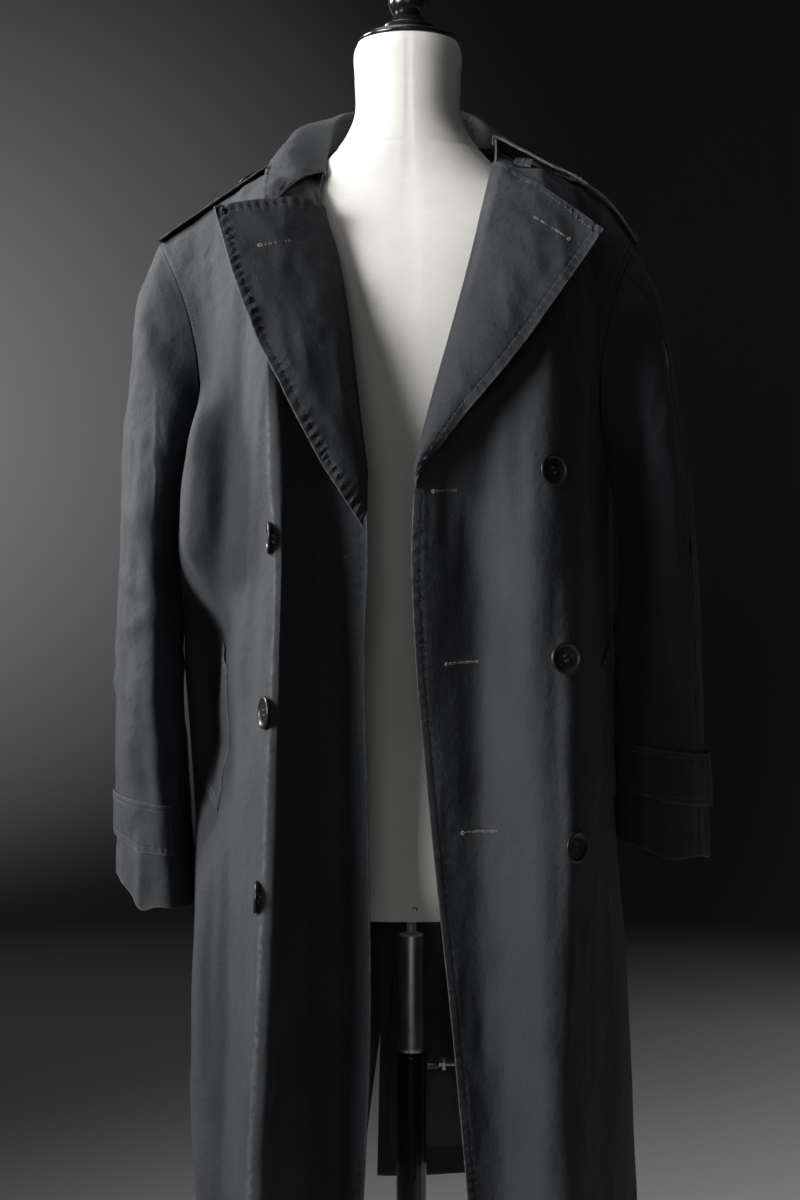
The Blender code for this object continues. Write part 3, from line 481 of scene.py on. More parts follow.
class Cloth:
    """A fine grid over a piece of cloth's outer face, in millimetres.

    across(row) gives the u places of a row's points, as many on each row, and facing is a vector,
    or a point to face away from."""

    def __init__(self, point, across, rows, facing=None, away_from=None):
        self.v = np.array(rows, float)
        columns = [across(row) for row in rows]
        self.u = np.array(columns).T
        self.points = np.array([[point(u, row)[:] for u in us]
                                for us, row in zip(columns, rows)]).transpose(1, 0, 2)
        self.sign = 1
        self.renew()
        outward = facing if facing is not None else self.points - away_from(self.points)
        if (self.normals * outward).sum() < 0:
            self.sign = -1
        self.renew()
        self.tree = self.lining = None
        self.rub_and_highlight = 0.0                # how worn the cloth is away from its edges, with a painted highlight along a ridge

    def renew(self):
        """Works out the normals and the distances from the four edges."""
        p = self.points
        n = np.cross(np.gradient(p, axis=0), np.gradient(p, axis=1)) * self.sign
        self.normals = n / np.maximum(np.linalg.norm(n, axis=2, keepdims=True), 1e-9)
        self.edge = {}
        for k, axis in (("u", 0), ("v", 1)):
            steps = np.linalg.norm(np.diff(p, axis=axis), axis=2)
            lead = np.zeros_like(steps[:1] if axis == 0 else steps[:, :1])
            along = np.concatenate((lead, np.cumsum(steps, axis=axis)), axis=axis)
            total = along[-1:] if axis == 0 else along[:, -1:]
            self.edge[f"{k}0"], self.edge[f"{k}1"] = along, total - along

    def push(self, amount):
        """Moves the cloth out along its normals."""
        self.points = self.points + self.normals * np.asarray(amount)[..., None]
        self.renew()

    def settle(self):
        """Keeps the inner face as it is now; ripples pushed later leave it alone."""
        self.lining = self.points.copy(), self.normals.copy()

    def even_out(self, row, reach, passes):
        """Takes the kink out of the cloth along a row."""
        weight = (0.5 * bump(self.v[1:-1], row, reach))[None, :, None]
        for _ in range(passes):
            p = self.points
            p[:, 1:-1] += weight * ((p[:, :-2] + p[:, 2:]) / 2 - p[:, 1:-1])
        self.renew()

    def least_edge(self, edges):
        """Distance from the nearest of some edges."""
        return np.min([self.edge[e] for e in edges], axis=0)

    def pucker(self, edges, inset, height, pitch, seed, where=1.0):
        """Ripples along stitched edges, with a groove at the stitching, inset from the edge.

        pitch is the length of a ripple, which a random curve stretches and squeezes."""
        lift = np.zeros_like(self.edge["u0"])
        for number, e in enumerate(edges):
            off = self.edge[e]
            along = self.edge["v0" if e[0] == "u" else "u0"]
            phase = 2 * pi * (along / pitch + 0.8 * wander(along, 3.1 * pitch, seed + number))
            strength = 0.65 + 0.35 * wander(along, 2.3 * pitch, seed + 40 + number)
            ripple = height * (np.sin(phase) * strength)
            lift += ripple * bump(off, 0.75 * inset, 0.7 * inset) * (1 - 0.7 * bump(off, 0, 2))
            lift -= 0.6 * bump(off, inset, 1.0)
        self.push(lift * where)

    def groove(self, edges, depth, width, inset=0.0, where=1.0):
        """Pulls the cloth in along seams, or along stitching inset from them."""
        self.push(-depth * where * bump(self.least_edge(edges), inset, width))

    def fade(self, calm, reach):
        """0 at the calm edges and 1 away from them."""
        return ease(self.least_edge(calm) / reach) if calm else 1.0

    def drape(self, height, pitch, seed, calm=(), calm_reach=20):
        """Soft unevenness, which dies out towards the calm edges."""
        self.push(height * self.fade(calm, calm_reach) * cloud(self.points, pitch, seed))

    def crease(self, height, pitch, seed, calm=(), calm_reach=20, slant=0.0):
        """Long soft ridges along the lines where a random field changes sign."""
        leant = self.points + self.points[..., :1] * np.array((0, 0, slant))
        ridge = 0.8 - 2 * np.sqrt(cloud(leant, pitch, seed) ** 2 + 0.008)
        self.push(height * self.fade(calm, calm_reach) * ridge)

    def rumple(self, kind, seed, calm):
        """Unevenness at the scales of a kind of piece, calm towards some edges."""
        for height, pitch, step, reach, *slant in RUMPLES[kind]:
            uneven = self.crease if slant else self.drape
            uneven(height, pitch, seed + step, calm, reach, *slant)

    def fold(self, rows):
        """Soft ridges and hollows drawn on the piece as seen from the front or back.

        Each row is x and z of both ends, half width and height."""
        x, z = self.points[..., 0], self.points[..., 2]
        lift = np.zeros_like(x)
        for x0, z0, x1, z1, width, height in rows:
            along = np.array((x1 - x0, z1 - z0), float)
            length = np.hypot(*along)
            t = ((x - x0) * along[0] + (z - z0) * along[1]) / length ** 2
            off = ((x - x0) * along[1] - (z - z0) * along[0]) / length
            taper = np.sin(pi * np.clip(t, 0, 1)) ** 0.8
            lift += height * taper * bump(off, 0, width)
        self.push(lift)

    def cell(self, u, v):
        """Fractional grid place of (u, v)."""
        j = int(np.clip(np.searchsorted(self.v, v) - 1, 0, len(self.v) - 2))
        fj = (v - self.v[j]) / (self.v[j + 1] - self.v[j])
        return index_at(u, self.u[:, j] * (1 - fj) + self.u[:, j + 1] * fj), j + fj

    def sample(self, grid, i, j):
        """Value of a grid array at fractional places."""
        i, j = np.asarray(i, float), np.asarray(j, float)
        a = np.clip(np.floor(i).astype(int), 0, grid.shape[0] - 2)
        b = np.clip(np.floor(j).astype(int), 0, grid.shape[1] - 2)
        f, g = i - a, j - b
        if grid.ndim == 3:
            f, g = f[..., None], g[..., None]
        return ((grid[a, b] * (1 - f) + grid[a + 1, b] * f) * (1 - g)
                + (grid[a, b + 1] * (1 - f) + grid[a + 1, b + 1] * f) * g)

    def spot(self, u, v, out=0.0):
        """(point, normal) on the cloth's outer face at (u, v), moved out by a distance."""
        i, j = self.cell(u, v)
        normal = Vector(self.sample(self.normals, i, j)).normalized()
        return Vector(self.sample(self.points, i, j)) + normal * out, normal

    def path(self, edge, inset, clear_of=(), span=None):
        """(points, normals) along an edge, inset from it and from the edges in clear_of.

        On an upright edge, span is the lowest and highest row."""
        off = self.edge[edge]
        i = np.array([index_at(inset, row) for row in (off.T if edge[0] == "u" else off)])
        j = np.arange(len(i), dtype=float)
        if edge[0] == "v":
            i, j = j, i
        keep = np.ones(len(i), bool)
        if span:
            rows = np.interp(j, np.arange(len(self.v)), self.v)
            keep &= (rows >= span[0]) & (rows <= span[1])
        for other in clear_of:
            keep &= self.sample(self.edge[other], i, j) >= inset - 0.01
        i, j = i[keep], j[keep]
        return self.sample(self.points, i, j), self.sample(self.normals, i, j)

    def seen(self, x, z):
        """(point, normal) where the cloth is first met from the front, or (None, None)."""
        if self.tree is None:
            self.tree = BVHTree.FromPolygons([Vector(q) for q in self.points.reshape(-1, 3)],
                                             cells(*self.points.shape[:2]))
        point, normal = self.tree.ray_cast(Vector((x, -FAR, z)), Vector((0, 1, 0)))[:2]
        if point is not None and normal.y > 0:
            normal = -normal
        return point, normal

    def in_front(self, p, gap):
        """The point p, moved forward where need be to stand in front of this cloth by a gap."""
        met = self.seen(p.x, p.z)[0]
        if met is None or abs(met.y - p.y) > CLEAR_REACH:
            return p
        return Vector((p.x, min(p.y, met.y - gap), p.z))

    def build(self, name, wall, look, worn=EDGES):
        """The cloth as a closed wall with soft edges; its inner face has fewer rows."""
        nu, nv = self.points.shape[:2]
        outer = self.points.reshape(-1, 3)
        base, away = self.lining or (self.points, self.normals)
        inside = (base - away * wall).reshape(-1, 3)
        back, rim = nu * nv, 2 * nu * nv
        grid = np.arange(back).reshape(nu, nv)
        border = np.concatenate((grid[:, 0], grid[-1, 1:], grid[-2::-1, -1], grid[0, -2:0:-1]))
        past = outer[border] - self.points[np.clip(border // nv, 1, nu - 2),
                                           np.clip(border % nv, 1, nv - 2)]
        past /= np.maximum(np.linalg.norm(past, axis=1, keepdims=True), 1e-9)
        middle = (outer[border] + inside[border]) / 2 + past * wall * 0.3
        verts = np.vstack((outer, inside, middle))
        faces = cells(nu, nv)
        cuts = [*range(0, nv - 1, INNER_STEP), nv - 1]
        for i in range(nu - 1):
            for low, high in zip(cuts, cuts[1:]):
                near = range(low, high + 1) if i == 0 else (low, high)
                far = range(high, low - 1, -1) if i == nu - 2 else (high, low)
                faces.append(tuple([back + i * nv + j for j in near]
                                   + [back + (i + 1) * nv + j for j in far]))
        for k, a in enumerate(border):
            n = (k + 1) % len(border)
            b, ring, ring_next = border[n], rim + k, rim + n
            faces += [(b, a, ring, ring_next), (ring_next, ring, back + a, back + b)]
        if self.sign < 0:
            faces = [face[::-1] for face in faces]
        plain = np.zeros((nu, nv))
        laid = np.stack((self.edge["u0"], self.edge["v0"], plain), axis=2).reshape(-1, 3)
        wear_and_highlight = np.exp(-self.least_edge(worn) / WEAR_REACH) if worn else plain
        # wear along the edges, and along the left front's ridge a lighter line that is partly wear
        # and partly painted highlight
        wear_and_highlight = np.maximum(wear_and_highlight, self.rub_and_highlight + plain).ravel()
        order = np.concatenate((grid.ravel(), grid.ravel(), border))
        return add_piece(name, verts, faces, look, {"cloth": laid[order] * MM, "wear_and_highlight": wear_and_highlight[order]})


def add_piece(name, verts, faces, look, fields=None, centre=BUST_X):
    """A smooth closed mesh from points in millimetres, riding on the root body."""
    verts = np.asarray(verts)
    used = np.zeros(len(verts), bool)
    for face in faces:
        used[list(face)] = True
    place = np.cumsum(used) - 1
    data = bpy.data.meshes.new(name)
    data.from_pydata((verts[used] * MM).tolist(), [], [[place[v] for v in face] for face in faces])
    for field, values in (fields or {}).items():
        vector = np.ndim(values) == 2
        made = data.attributes.new(field, "FLOAT_VECTOR" if vector else "FLOAT", "POINT")
        made.data.foreach_set("vector" if vector else "value",
                              np.asarray(values, np.float32)[used].ravel())
    data.shade_smooth()
    data.set_sharp_from_angle(angle=radians(55))
    data.materials.append(LOOKS[look])
    piece = bpy.data.objects.new(name, data)
    piece.location = (centre * MM, 0, 0)
    bpy.context.scene.collection.objects.link(piece)
    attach(piece, "root")
    return piece


class Thread:
    """Stitches of one thread, gathered into one mesh."""

    RINGS, ROUND = (0.12, 0.5, 0.88), 5

    def __init__(self, radius):
        self.radius = radius
        self.verts, self.faces, self.count = [], [], 0

    def add(self, starts, ends, normals):
        """Stitches between pairs of points; their ends dip into the cloth."""
        starts, ends, normals = (np.asarray(x, float).reshape(-1, 3)
                                 for x in (starts, ends, normals))
        run = ends - starts
        length = np.linalg.norm(run, axis=1, keepdims=True)
        run = run / np.maximum(length, 1e-9)
        side = np.cross(run, normals)
        side /= np.maximum(np.linalg.norm(side, axis=1, keepdims=True), 1e-9)
        up = np.cross(side, run)
        r = self.radius
        rows = [starts - up * r * 0.9]
        for share in self.RINGS:
            thin = 1.0 if share == 0.5 else 0.75
            middle = starts + (ends - starts) * share + up * r * (0.75 if share == 0.5 else 0.1)
            for k in range(self.ROUND):
                a = 2 * pi * k / self.ROUND
                rows.append(middle + (side * cos(a) + up * sin(a)) * r * thin)
        rows.append(ends - up * r * 0.9)
        block = np.stack(rows, axis=1)
        size, s = block.shape[1], self.ROUND
        faces = []
        for k in range(s):
            n = (k + 1) % s
            faces.append((0, 1 + n, 1 + k))
            for ring in range(len(self.RINGS) - 1):
                low, high = 1 + ring * s, 1 + (ring + 1) * s
                faces.append((low + k, low + n, high + n, high + k))
            faces.append((size - 1, size - 1 - s + k, size - 1 - s + n))
        for m in range(len(block)):
            base = self.count + m * size
            self.faces += [tuple(base + q for q in face) for face in faces]
        self.verts.append(block.reshape(-1, 3))
        self.count += len(block) * size

    def sew(self, points, normals, pitch=3.6, share=0.72):
        """A row of stitches along a line."""
        points = np.asarray(points)
        if len(points) < 2:
            return
        steps = np.linalg.norm(np.diff(points, axis=0), axis=1)
        along = np.concatenate(([0], np.cumsum(steps)))
        count = int(along[-1] / pitch)
        if count < 1:
            return
        starts = (np.arange(count) + 0.15) * pitch
        ends = starts + pitch * share

        def at(values, s):
            return np.stack([np.interp(s, along, values[:, k]) for k in range(3)], axis=1)

        self.add(at(points, starts), at(points, ends), at(np.asarray(normals), (starts + ends) / 2))

    def build(self, name, look):
        return add_piece(name, np.vstack(self.verts), self.faces, look)


# ---------------------------------------------------------------- finishes
class Look:
    """A material in the making: its node tree, and the coordinates that its patterns follow."""

    def __init__(self, name):
        self.material = bpy.data.materials.new(name)
        self.material.use_nodes = True
        self.tree = self.material.node_tree
        self.place = self.node("ShaderNodeTexCoord", {}, "Object")
        self.laid = self.attribute("cloth", "Vector")

    def node(self, kind, inputs, output, **settings):
        """A node's output; each input is a value, or another node's output to link."""
        made = self.tree.nodes.new(kind)
        for key, value in settings.items():
            setattr(made, key, value)
        for key, value in inputs.items():
            if isinstance(value, bpy.types.NodeSocket):
                self.tree.links.new(value, made.inputs[key])
            else:
                made.inputs[key].default_value = value
        return made.outputs[output]

    def attribute(self, name, output):
        return self.node("ShaderNodeAttribute", {}, output, attribute_name=name)

    def noise(self, vector, scale, detail=3.0, rough=0.5):
        """A noise pattern, about scale waves to the metre."""
        return self.node("ShaderNodeTexNoise", {"Vector": vector, "Scale": scale, "Detail": detail,
                                                "Roughness": rough}, "Fac")

    def streaks(self, vector, stretch, detail=3.0, rough=0.5):
        """A noise pattern with its own number of waves to the metre along each axis."""
        return self.noise(self.stretched(vector, stretch), 1.0, detail, rough)

    def bands(self, axis, **inputs):
        return self.node("ShaderNodeTexWave", {"Vector": self.laid, "Detail": 1.0, **inputs}, "Fac",
                         wave_type="BANDS", bands_direction=axis)

    def stretched(self, vector, stretch):
        return self.node("ShaderNodeMapping", {"Vector": vector, "Scale": stretch}, "Vector")

    def between(self, share, low, high, start=0.0, end=1.0):
        """A number that goes from low to high as share goes from start to end."""
        return self.node("ShaderNodeMapRange", {"Value": share, "From Min": start, "From Max": end,
                                                "To Min": low, "To Max": high}, "Result")

    def product(self, a, b):
        return self.node("ShaderNodeMath", {0: a, 1: b}, 0, operation="MULTIPLY")

    def blend(self, share, a, b):
        """A colour between a and b."""
        a, b = (x if isinstance(x, bpy.types.NodeSocket) else (*x, 1.0) for x in (a, b))
        return self.node("ShaderNodeMix", {0: share, 6: a, 7: b}, 2, data_type="RGBA")

    def relief(self, height, distance, strength=1.0, over=None):
        """A bump map, on top of another one where over is given."""
        inputs = {"Height": height, "Distance": distance, "Strength": strength}
        if over is not None:
            inputs["Normal"] = over
        return self.node("ShaderNodeBump", inputs, "Normal")

    def finish(self, patterns, **fixed):
        """The material, with its patterns linked and its other values set on its shader."""
        sockets = self.tree.nodes["Principled BSDF"].inputs
        for name, pattern in patterns.items():
            self.tree.links.new(pattern, sockets[name])
        for name, value in fixed.items():
            sockets[name.replace("_", " ")].default_value = value
        return self.material


def gabardine():
    """Washed cotton gabardine, near black, with a fine twill, faded along worn edges, and lighter
    along the left front's ridge line as a painted highlight.
    """
    look = Look("gabardine")
    patches = look.noise(look.place, 11, 4)
    colour = look.blend(look.between(patches, 0, 1, 0.35, 0.65),
                        (0.0195, 0.0213, 0.0242), (0.0285, 0.0308, 0.0342))
    slubs = look.streaks(look.laid, (2600, 240, 1), 2)
    colour = look.blend(look.between(slubs, 0, 0.55, 0.5, 0.8), colour, (0.048, 0.051, 0.056))
    # lighter along worn edges and, as a painted highlight, along the left front's ridge line
    rub_and_highlight = look.product(look.attribute("wear_and_highlight", "Fac"),
                          look.between(look.noise(look.place, 160), 0.15, 1.0, 0.35, 0.65))
    fade_and_highlight = look.product(rub_and_highlight, look.between(patches, 0.55, 0.95, 0.3, 0.7))
    crumple = look.relief(look.noise(look.place, 62, 5, 0.6), 0.0036, 0.7)
    grain = look.relief(look.streaks(look.laid, (900, 500, 1), 2), 0.0003, 0.5, crumple)
    twill = look.bands("DIAGONAL", Scale=620, Distortion=0.6)
    return look.finish({"Base Color": look.blend(fade_and_highlight, colour, (0.10, 0.104, 0.11)),
                        "Roughness": look.between(patches, 0.74, 0.88),
                        "Normal": look.relief(twill, 0.00012, 0.6, grain)},
                       Sheen_Weight=0.06, Sheen_Roughness=0.45, Sheen_Tint=(0.75, 0.8, 0.9, 1),
                       Specular_IOR_Level=0.32)


def satin():
    """Black viscose lining with a soft lustre along its threads."""
    look = Look("lining")
    streaks = look.streaks(look.laid, (700, 40, 1))
    soft = look.relief(look.noise(look.place, 60), 0.001, 0.4)
    return look.finish({"Base Color": look.blend(streaks, (0.010, 0.010, 0.012),
                                                 (0.021, 0.021, 0.025)),
                        "Roughness": look.between(streaks, 0.28, 0.46),
                        "Normal": look.relief(streaks, 0.0001, 0.3, soft)}, Anisotropic=0.4)


def horn():
    """Dark polished horn with faint brown and grey clouds."""
    look = Look("horn")
    clouds = look.noise(look.stretched(look.place, (1, 2.4, 1)), 95, 5, 0.6)
    return look.finish({"Base Color": look.blend(look.between(clouds, 0, 1, 0.4, 0.75),
                                                 (0.006, 0.006, 0.007), (0.022, 0.021, 0.020)),
                        "Roughness": look.between(clouds, 0.28, 0.42),
                        "Normal": look.relief(look.noise(look.place, 500, 2), 0.0001, 0.25)},
                       Specular_IOR_Level=0.3, Coat_Weight=0.2, Coat_Roughness=0.1)


def canvas():
    """Unbleached plain-weave canvas drawn over the form."""
    look = Look("canvas")
    threads = look.product(*(look.bands(axis, Scale=330, Distortion=1.0, **{"Detail Scale": 0.2})
                             for axis in "XY"))
    slubs = look.streaks(look.laid, (90, 1500, 1))
    stains = look.noise(look.place, 7, 5, 0.55)
    colour = look.blend(look.between(stains, 0, 1, 0.35, 0.7),
                        (0.80, 0.785, 0.75), (0.70, 0.68, 0.635))
    soft = look.relief(look.noise(look.place, 40), 0.0012, 0.25)
    uneven = look.relief(slubs, 0.0002, 0.4, soft)
    return look.finish({"Base Color": look.blend(look.between(slubs, 0, 0.35, 0.5, 0.75), colour,
                                                 (0.58, 0.555, 0.50)),
                        "Roughness": look.between(stains, 0.82, 0.94),
                        "Normal": look.relief(threads, 0.00035, 0.7, uneven)}, Sheen_Weight=0.12)


def lacquer():
    """Black gloss lacquer, with a faint orange peel and fine dust."""
    look = Look("black_gloss")
    dust = look.between(look.noise(look.place, 900, 2), 0, 1, 0.66, 0.8)
    return look.finish({"Base Color": look.blend(dust, (0.008, 0.008, 0.009), (0.05, 0.05, 0.05)),
                        "Roughness": look.between(look.noise(look.place, 30, 4),
                                                  0.12, 0.26, 0.3, 0.7),
                        "Normal": look.relief(look.noise(look.place, 240, 2), 0.00008, 0.2)},
                       Coat_Weight=0.7, Coat_Roughness=0.06)


def steel():
    """Steel turned and brushed round its axis."""
    look = Look("steel")
    lines = look.streaks(look.place, (8, 8, 2600), 4, 0.7)
    smears = look.product(lines, look.noise(look.place, 35))
    return look.finish({"Base Color": look.blend(lines, (0.50, 0.49, 0.475), (0.72, 0.71, 0.69)),
                        "Roughness": look.between(smears, 0.22, 0.5, 0.1, 0.4),
                        "Normal": look.relief(lines, 0.00006, 0.5)}, Metallic=1.0)


def yarn(name, low, high):
    """Twisted sewing thread between two shades."""
    look = Look(name)
    return look.finish({"Base Color": look.blend(look.noise(look.place, 700, 2), low, high),
                        "Roughness": look.between(look.noise(look.place, 300, 1), 0.6, 0.8),
                        "Normal": look.relief(look.noise(look.place, 2500, 2), 0.0002, 0.5)},
                       Sheen_Weight=0.3)


LOOKS = {
    "gabardine": gabardine(), "lining": satin(), "horn": horn(), "canvas": canvas(),
    "black_gloss": lacquer(), "steel": steel(),
    "dark_thread": yarn("dark_thread", (0.010, 0.011, 0.012), (0.028, 0.030, 0.033)),
    "grey_thread": yarn("grey_thread", (0.045, 0.047, 0.050), (0.095, 0.098, 0.103)),
    "pale_thread": yarn("pale_thread", (0.20, 0.198, 0.195), (0.42, 0.415, 0.41)),
}


# ---------------------------------------------------------------- the coat's body
BODY_ROWS, RIDGE_COLUMNS, FLANK_COLUMNS, FRONT_COLUMNS, BACK_COLUMNS = 330, 22, 40, 64, 46
LINING_ROWS, LINING_COLUMNS = 110, 42
SEED = {"front": {"left": 10, "right": 20}, "back": {"left": 50, "right": 60}}
FADE = 100                               # length over which a local shape starts and ends
ROWS = places(lambda row: front_point("left", 4.2, row), 0, SHOULDER_ROW, HEM_STEPS, SEAM_STEPS,
              BODY_ROWS, samples=240)

# x and z of both ends, half width and height of soft folds, seen from the front
FRONT_FOLDS = {
    "left": (
        (-129, 1260, -154, 880, 5, 5), (-152, 1035, -174, 880, 12, 7),
        (-150, 1330, -182, 1000, 11, -9),
        (-188, 980, -186, 560, 10, -6), (-150, 930, -150, 420, 9, 4),
        (-168, 900, -172, 400, 7, -4),
        (-84, 1180, -78, 400, 10, -4), (-62, 1110, -62, 420, 5, -3),
    ),
    "right": (
        (62, 1180, 68, 800, 22, -11), (112, 1190, 108, 800, 12, 7), (120, 900, 132, 420, 14, 6),
        (132, 1100, 134, 700, 8, -4), (152, 1180, 158, 800, 9, 3),
        (172, 1250, 186, 1010, 7, -5), (186, 1190, 196, 900, 7, 3), (60, 1080, 74, 700, 12, -4),
        (112, 860, 122, 420, 12, 5), (84, 760, 96, 420, 9, -3.5), (160, 800, 176, 420, 10, -4),
    ),
}
BACK_FOLDS = {
    "left": ((-60, 1340, -95, 900, 16, 3), (-120, 1150, -132, 500, 18, 4),
             (-40, 1200, -60, 520, 14, -3)),
    "right": ((70, 1350, 92, 880, 16, 3), (118, 1120, 128, 480, 18, 4),
              (38, 1180, 52, 500, 14, -3)),
}


def dress(cloth, node_name, wall, worn, seams=(), look="gabardine",
          thread="dark_thread", pitch=4.2, stitches="{}_stitches"):
    """Each seam is (points, normals) of a line of stitches."""
    piece = cloth.build(f"{node_name}_cloth", wall, look, worn)
    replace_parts(piece, node_name)
    if seams:
        stitching = Thread(STITCH_RADIUS)
        for points, normals in seams:
            stitching.sew(points, normals, pitch)
        stitching.build(stitches.format(node_name), thread)


# share of the left shoulder seam and how far the cloth stands up there, under the strap
SHOULDER_PUFF = ((0.0, 0), (0.22, 0), (0.33, 12), (0.42, 12), (0.55, 9), (0.72, 6), (0.88, 2.5),
                 (1, 0))
PUFF_REACH = 38
NECK_SINK, SINK_REACH = 3, 42            # how far the fronts lie below the collar beside the neck


def puff_shoulder(cloth):
    """Lifts the cloth on both sides of the left shoulder seam, where the strap holds it up."""
    neck, tip = (np.array(seam_point("left", k)) for k in (0, 1))
    share = (cloth.points[..., 0] - neck[0]) / (tip[0] - neck[0])
    height = np.interp(share, *zip(*SHOULDER_PUFF))
    cloth.points[..., 2] += height * bump(cloth.edge["v1"], 0, PUFF_REACH)
    cloth.renew()


# lowest and highest level, line, half width in lines, and move across and back, of the left
# front beside its side seam: full below the armhole, drawn in behind the sleeve, full at the hem
SIDE_FOLDS = (
    (1030, 1255, 4.08, 0.5, -13, -40),
    (850, 1075, 4.25, 0.55, 8, 44),
    (300, 850, 4.0, 0.55, -8, -36),
)


def stand_out(cloth):
    """Shapes the left front beside the sleeve."""
    u, z = cloth.u, cloth.points[..., 2].copy()
    for low, high, line, width, dx, dy in SIDE_FOLDS:
        share = bump(u, line, width) * ease((5 - u) / 0.6)
        share *= ease((high - z) / FADE) * ease((z - low + FADE / 2) / FADE)
        cloth.points += share[..., None] * np.array((dx, dy, 0))
    cloth.renew()


def sink_neck(cloth):
    """Lays a front's corner beside the neck down, so that the collar stands over a hollow."""
    near = bump(cloth.edge["v1"], 15, SINK_REACH), bump(cloth.edge["u0"], 8, SINK_REACH)
    cloth.points += (NECK_SINK * near[0] * near[1])[..., None] * np.array((0, 0.7, -0.9))
    cloth.renew()


def shape_body(cloth, folds, seed):
    """Folds, hang and unevenness of a body panel, calm towards its seams."""
    puff_shoulder(cloth)
    cloth.fold(folds)
    cloth.rumple("body", seed, ("u0", "u1", "v1"))
    cloth.even_out(UNDERARM_ROW, 0.35, 40)


RIDGE_FULL, RIDGE_TOP = 11, 1250         # how far the left front swells beside its ridge line
RIDGE_SWELL = -10, 9                     # the swell's middle, from that line, and half width
RIDGE_WEAR_AND_HIGHLIGHT = 0.8, 1.6                     # how worn the line is, with its painted highlight, and how far beside it
RIDGE_LINE, RIDGE_STEPS = 2, (0, 0.9, 1.9, 3.2, 5, 7.5, 10.5)
EDGE_SEAM, ARMHOLE_SEAMS = 8, (4, 11)    # how far stitching lies inside the edge and the armhole


def make_front(side):
    """One front, from its edge and roll line to its side seam, armhole and shoulder seam."""
    def point(line, row):
        return front_point(side, line, row)

    def across(row):
        def curve(line):
            return point(line, row)

        if side == "right":
            return places(curve, 0, 5, EDGE_STEPS, SEAM_STEPS, FRONT_COLUMNS)
        return [*places(curve, 0, RIDGE_LINE, EDGE_STEPS, RIDGE_STEPS, RIDGE_COLUMNS)[:-1],
                *places(curve, RIDGE_LINE, 5, RIDGE_STEPS, SEAM_STEPS, FLANK_COLUMNS)]

    cloth = Cloth(point, across, ROWS, facing=FORWARD)
    lift = np.array([roll_lift(side, row) for row in cloth.v])[None, :]
    cloth.points[..., 1] -= lift * bump(cloth.edge["u0"], 0, ROLL_OUT_REACH)
    cloth.renew()
    sink_neck(cloth)
    if side == "left":
        stand_out(cloth)
        ridge = len(EDGE_STEPS) + RIDGE_COLUMNS + len(RIDGE_STEPS) - 1
        past = cloth.edge["u0"] - cloth.edge["u0"][ridge][None, :]
        below = ease((RIDGE_TOP - cloth.points[..., 2]) / FADE)
        swell = RIDGE_FULL * bump(past, *RIDGE_SWELL) * below
        cloth.points += swell[..., None] * np.array((0.3, -1, 0))
        cloth.renew()
        # a lighter line along the ridge: partly a worn press crease, partly a painted highlight
        cloth.rub_and_highlight = RIDGE_WEAR_AND_HIGHLIGHT[0] * bump(past, 0, RIDGE_WEAR_AND_HIGHLIGHT[1]) * below
    shape_body(cloth, FRONT_FOLDS[side], SEED["front"][side])
    cloth.settle()
    first = LAPEL_ROWS[side][0]
    below = ease((first - cloth.v) / 0.1)[None, :]
    above = ease((cloth.v - UNDERARM_ROW) / 0.2)[None, :]
    cloth.pucker(("u0",), EDGE_SEAM, 1.6, 10, 30, below)
    cloth.pucker(("v0",), HEM_STITCH, 0.35, 13, 31)
    cloth.groove(("u1", "v1"), 0.8, 1.6)
    for inset in ARMHOLE_SEAMS:
        cloth.groove(("u1",), 0.6, 0.9, inset, above)
    cloth.pucker(("u1",), 7, 0.6, 8.5, 33, above)
    near, far = ARMHOLE_SEAMS
    dress(cloth, f"front_{side}", CLOTH, ("u0", "v0"),
          [cloth.path("u0", EDGE_SEAM, span=(0.05, first - 0.05)), cloth.path("v0", HEM_STITCH),
           cloth.path("u1", near, span=(UNDERARM_ROW + 0.1, SHOULDER_ROW)),
           cloth.path("u1", far, span=(UNDERARM_ROW + 0.2, SHOULDER_ROW))])
    return cloth


def make_back(side):
    """One half of the back, from its side seam to the centre back seam and vent."""
    first, last = (LEFT_SIDE, CENTRE_BACK) if side == "left" else (CENTRE_BACK, RIGHT_SIDE)
    centre, seam = ("u1", "u0") if side == "left" else ("u0", "u1")

    def point(line, row):
        p = back_point(line, row)
        if side == "left":
            p += vent_shift(p.z) * max(0.0, line - CENTRE_BACK + 1)
        return p + Vector((0.15 if side == "right" else -0.15, 0.15, 0))

    def across(row):
        start, end = (SEAM_STEPS, EDGE_STEPS) if side == "left" else (EDGE_STEPS, SEAM_STEPS)
        return places(lambda line: back_point(line, row), first, last, start, end, BACK_COLUMNS)

    cloth = Cloth(point, across, ROWS, facing=-FORWARD)
    shape_body(cloth, BACK_FOLDS[side], SEED["back"][side])
    cloth.settle()
    levels = cloth.points[0 if centre == "u0" else -1, :, 2]
    vent = ease((VENT_TOP - levels) / 20)[None, :]
    cloth.pucker((centre,), EDGE_SEAM, 0.6, 10.5, 35, vent)
    cloth.pucker(("v0",), HEM_STITCH, 0.35, 13, 36)
    cloth.groove((centre,), 0.9, 1.6, 0, 1 - vent)
    cloth.groove((seam, "v1"), 0.8, 1.6)
    dress(cloth, f"back_{side}", CLOTH, ("v0",),
          [cloth.path("v0", HEM_STITCH), cloth.path(centre, EDGE_SEAM, span=(0.05, 0.72))])
    return cloth


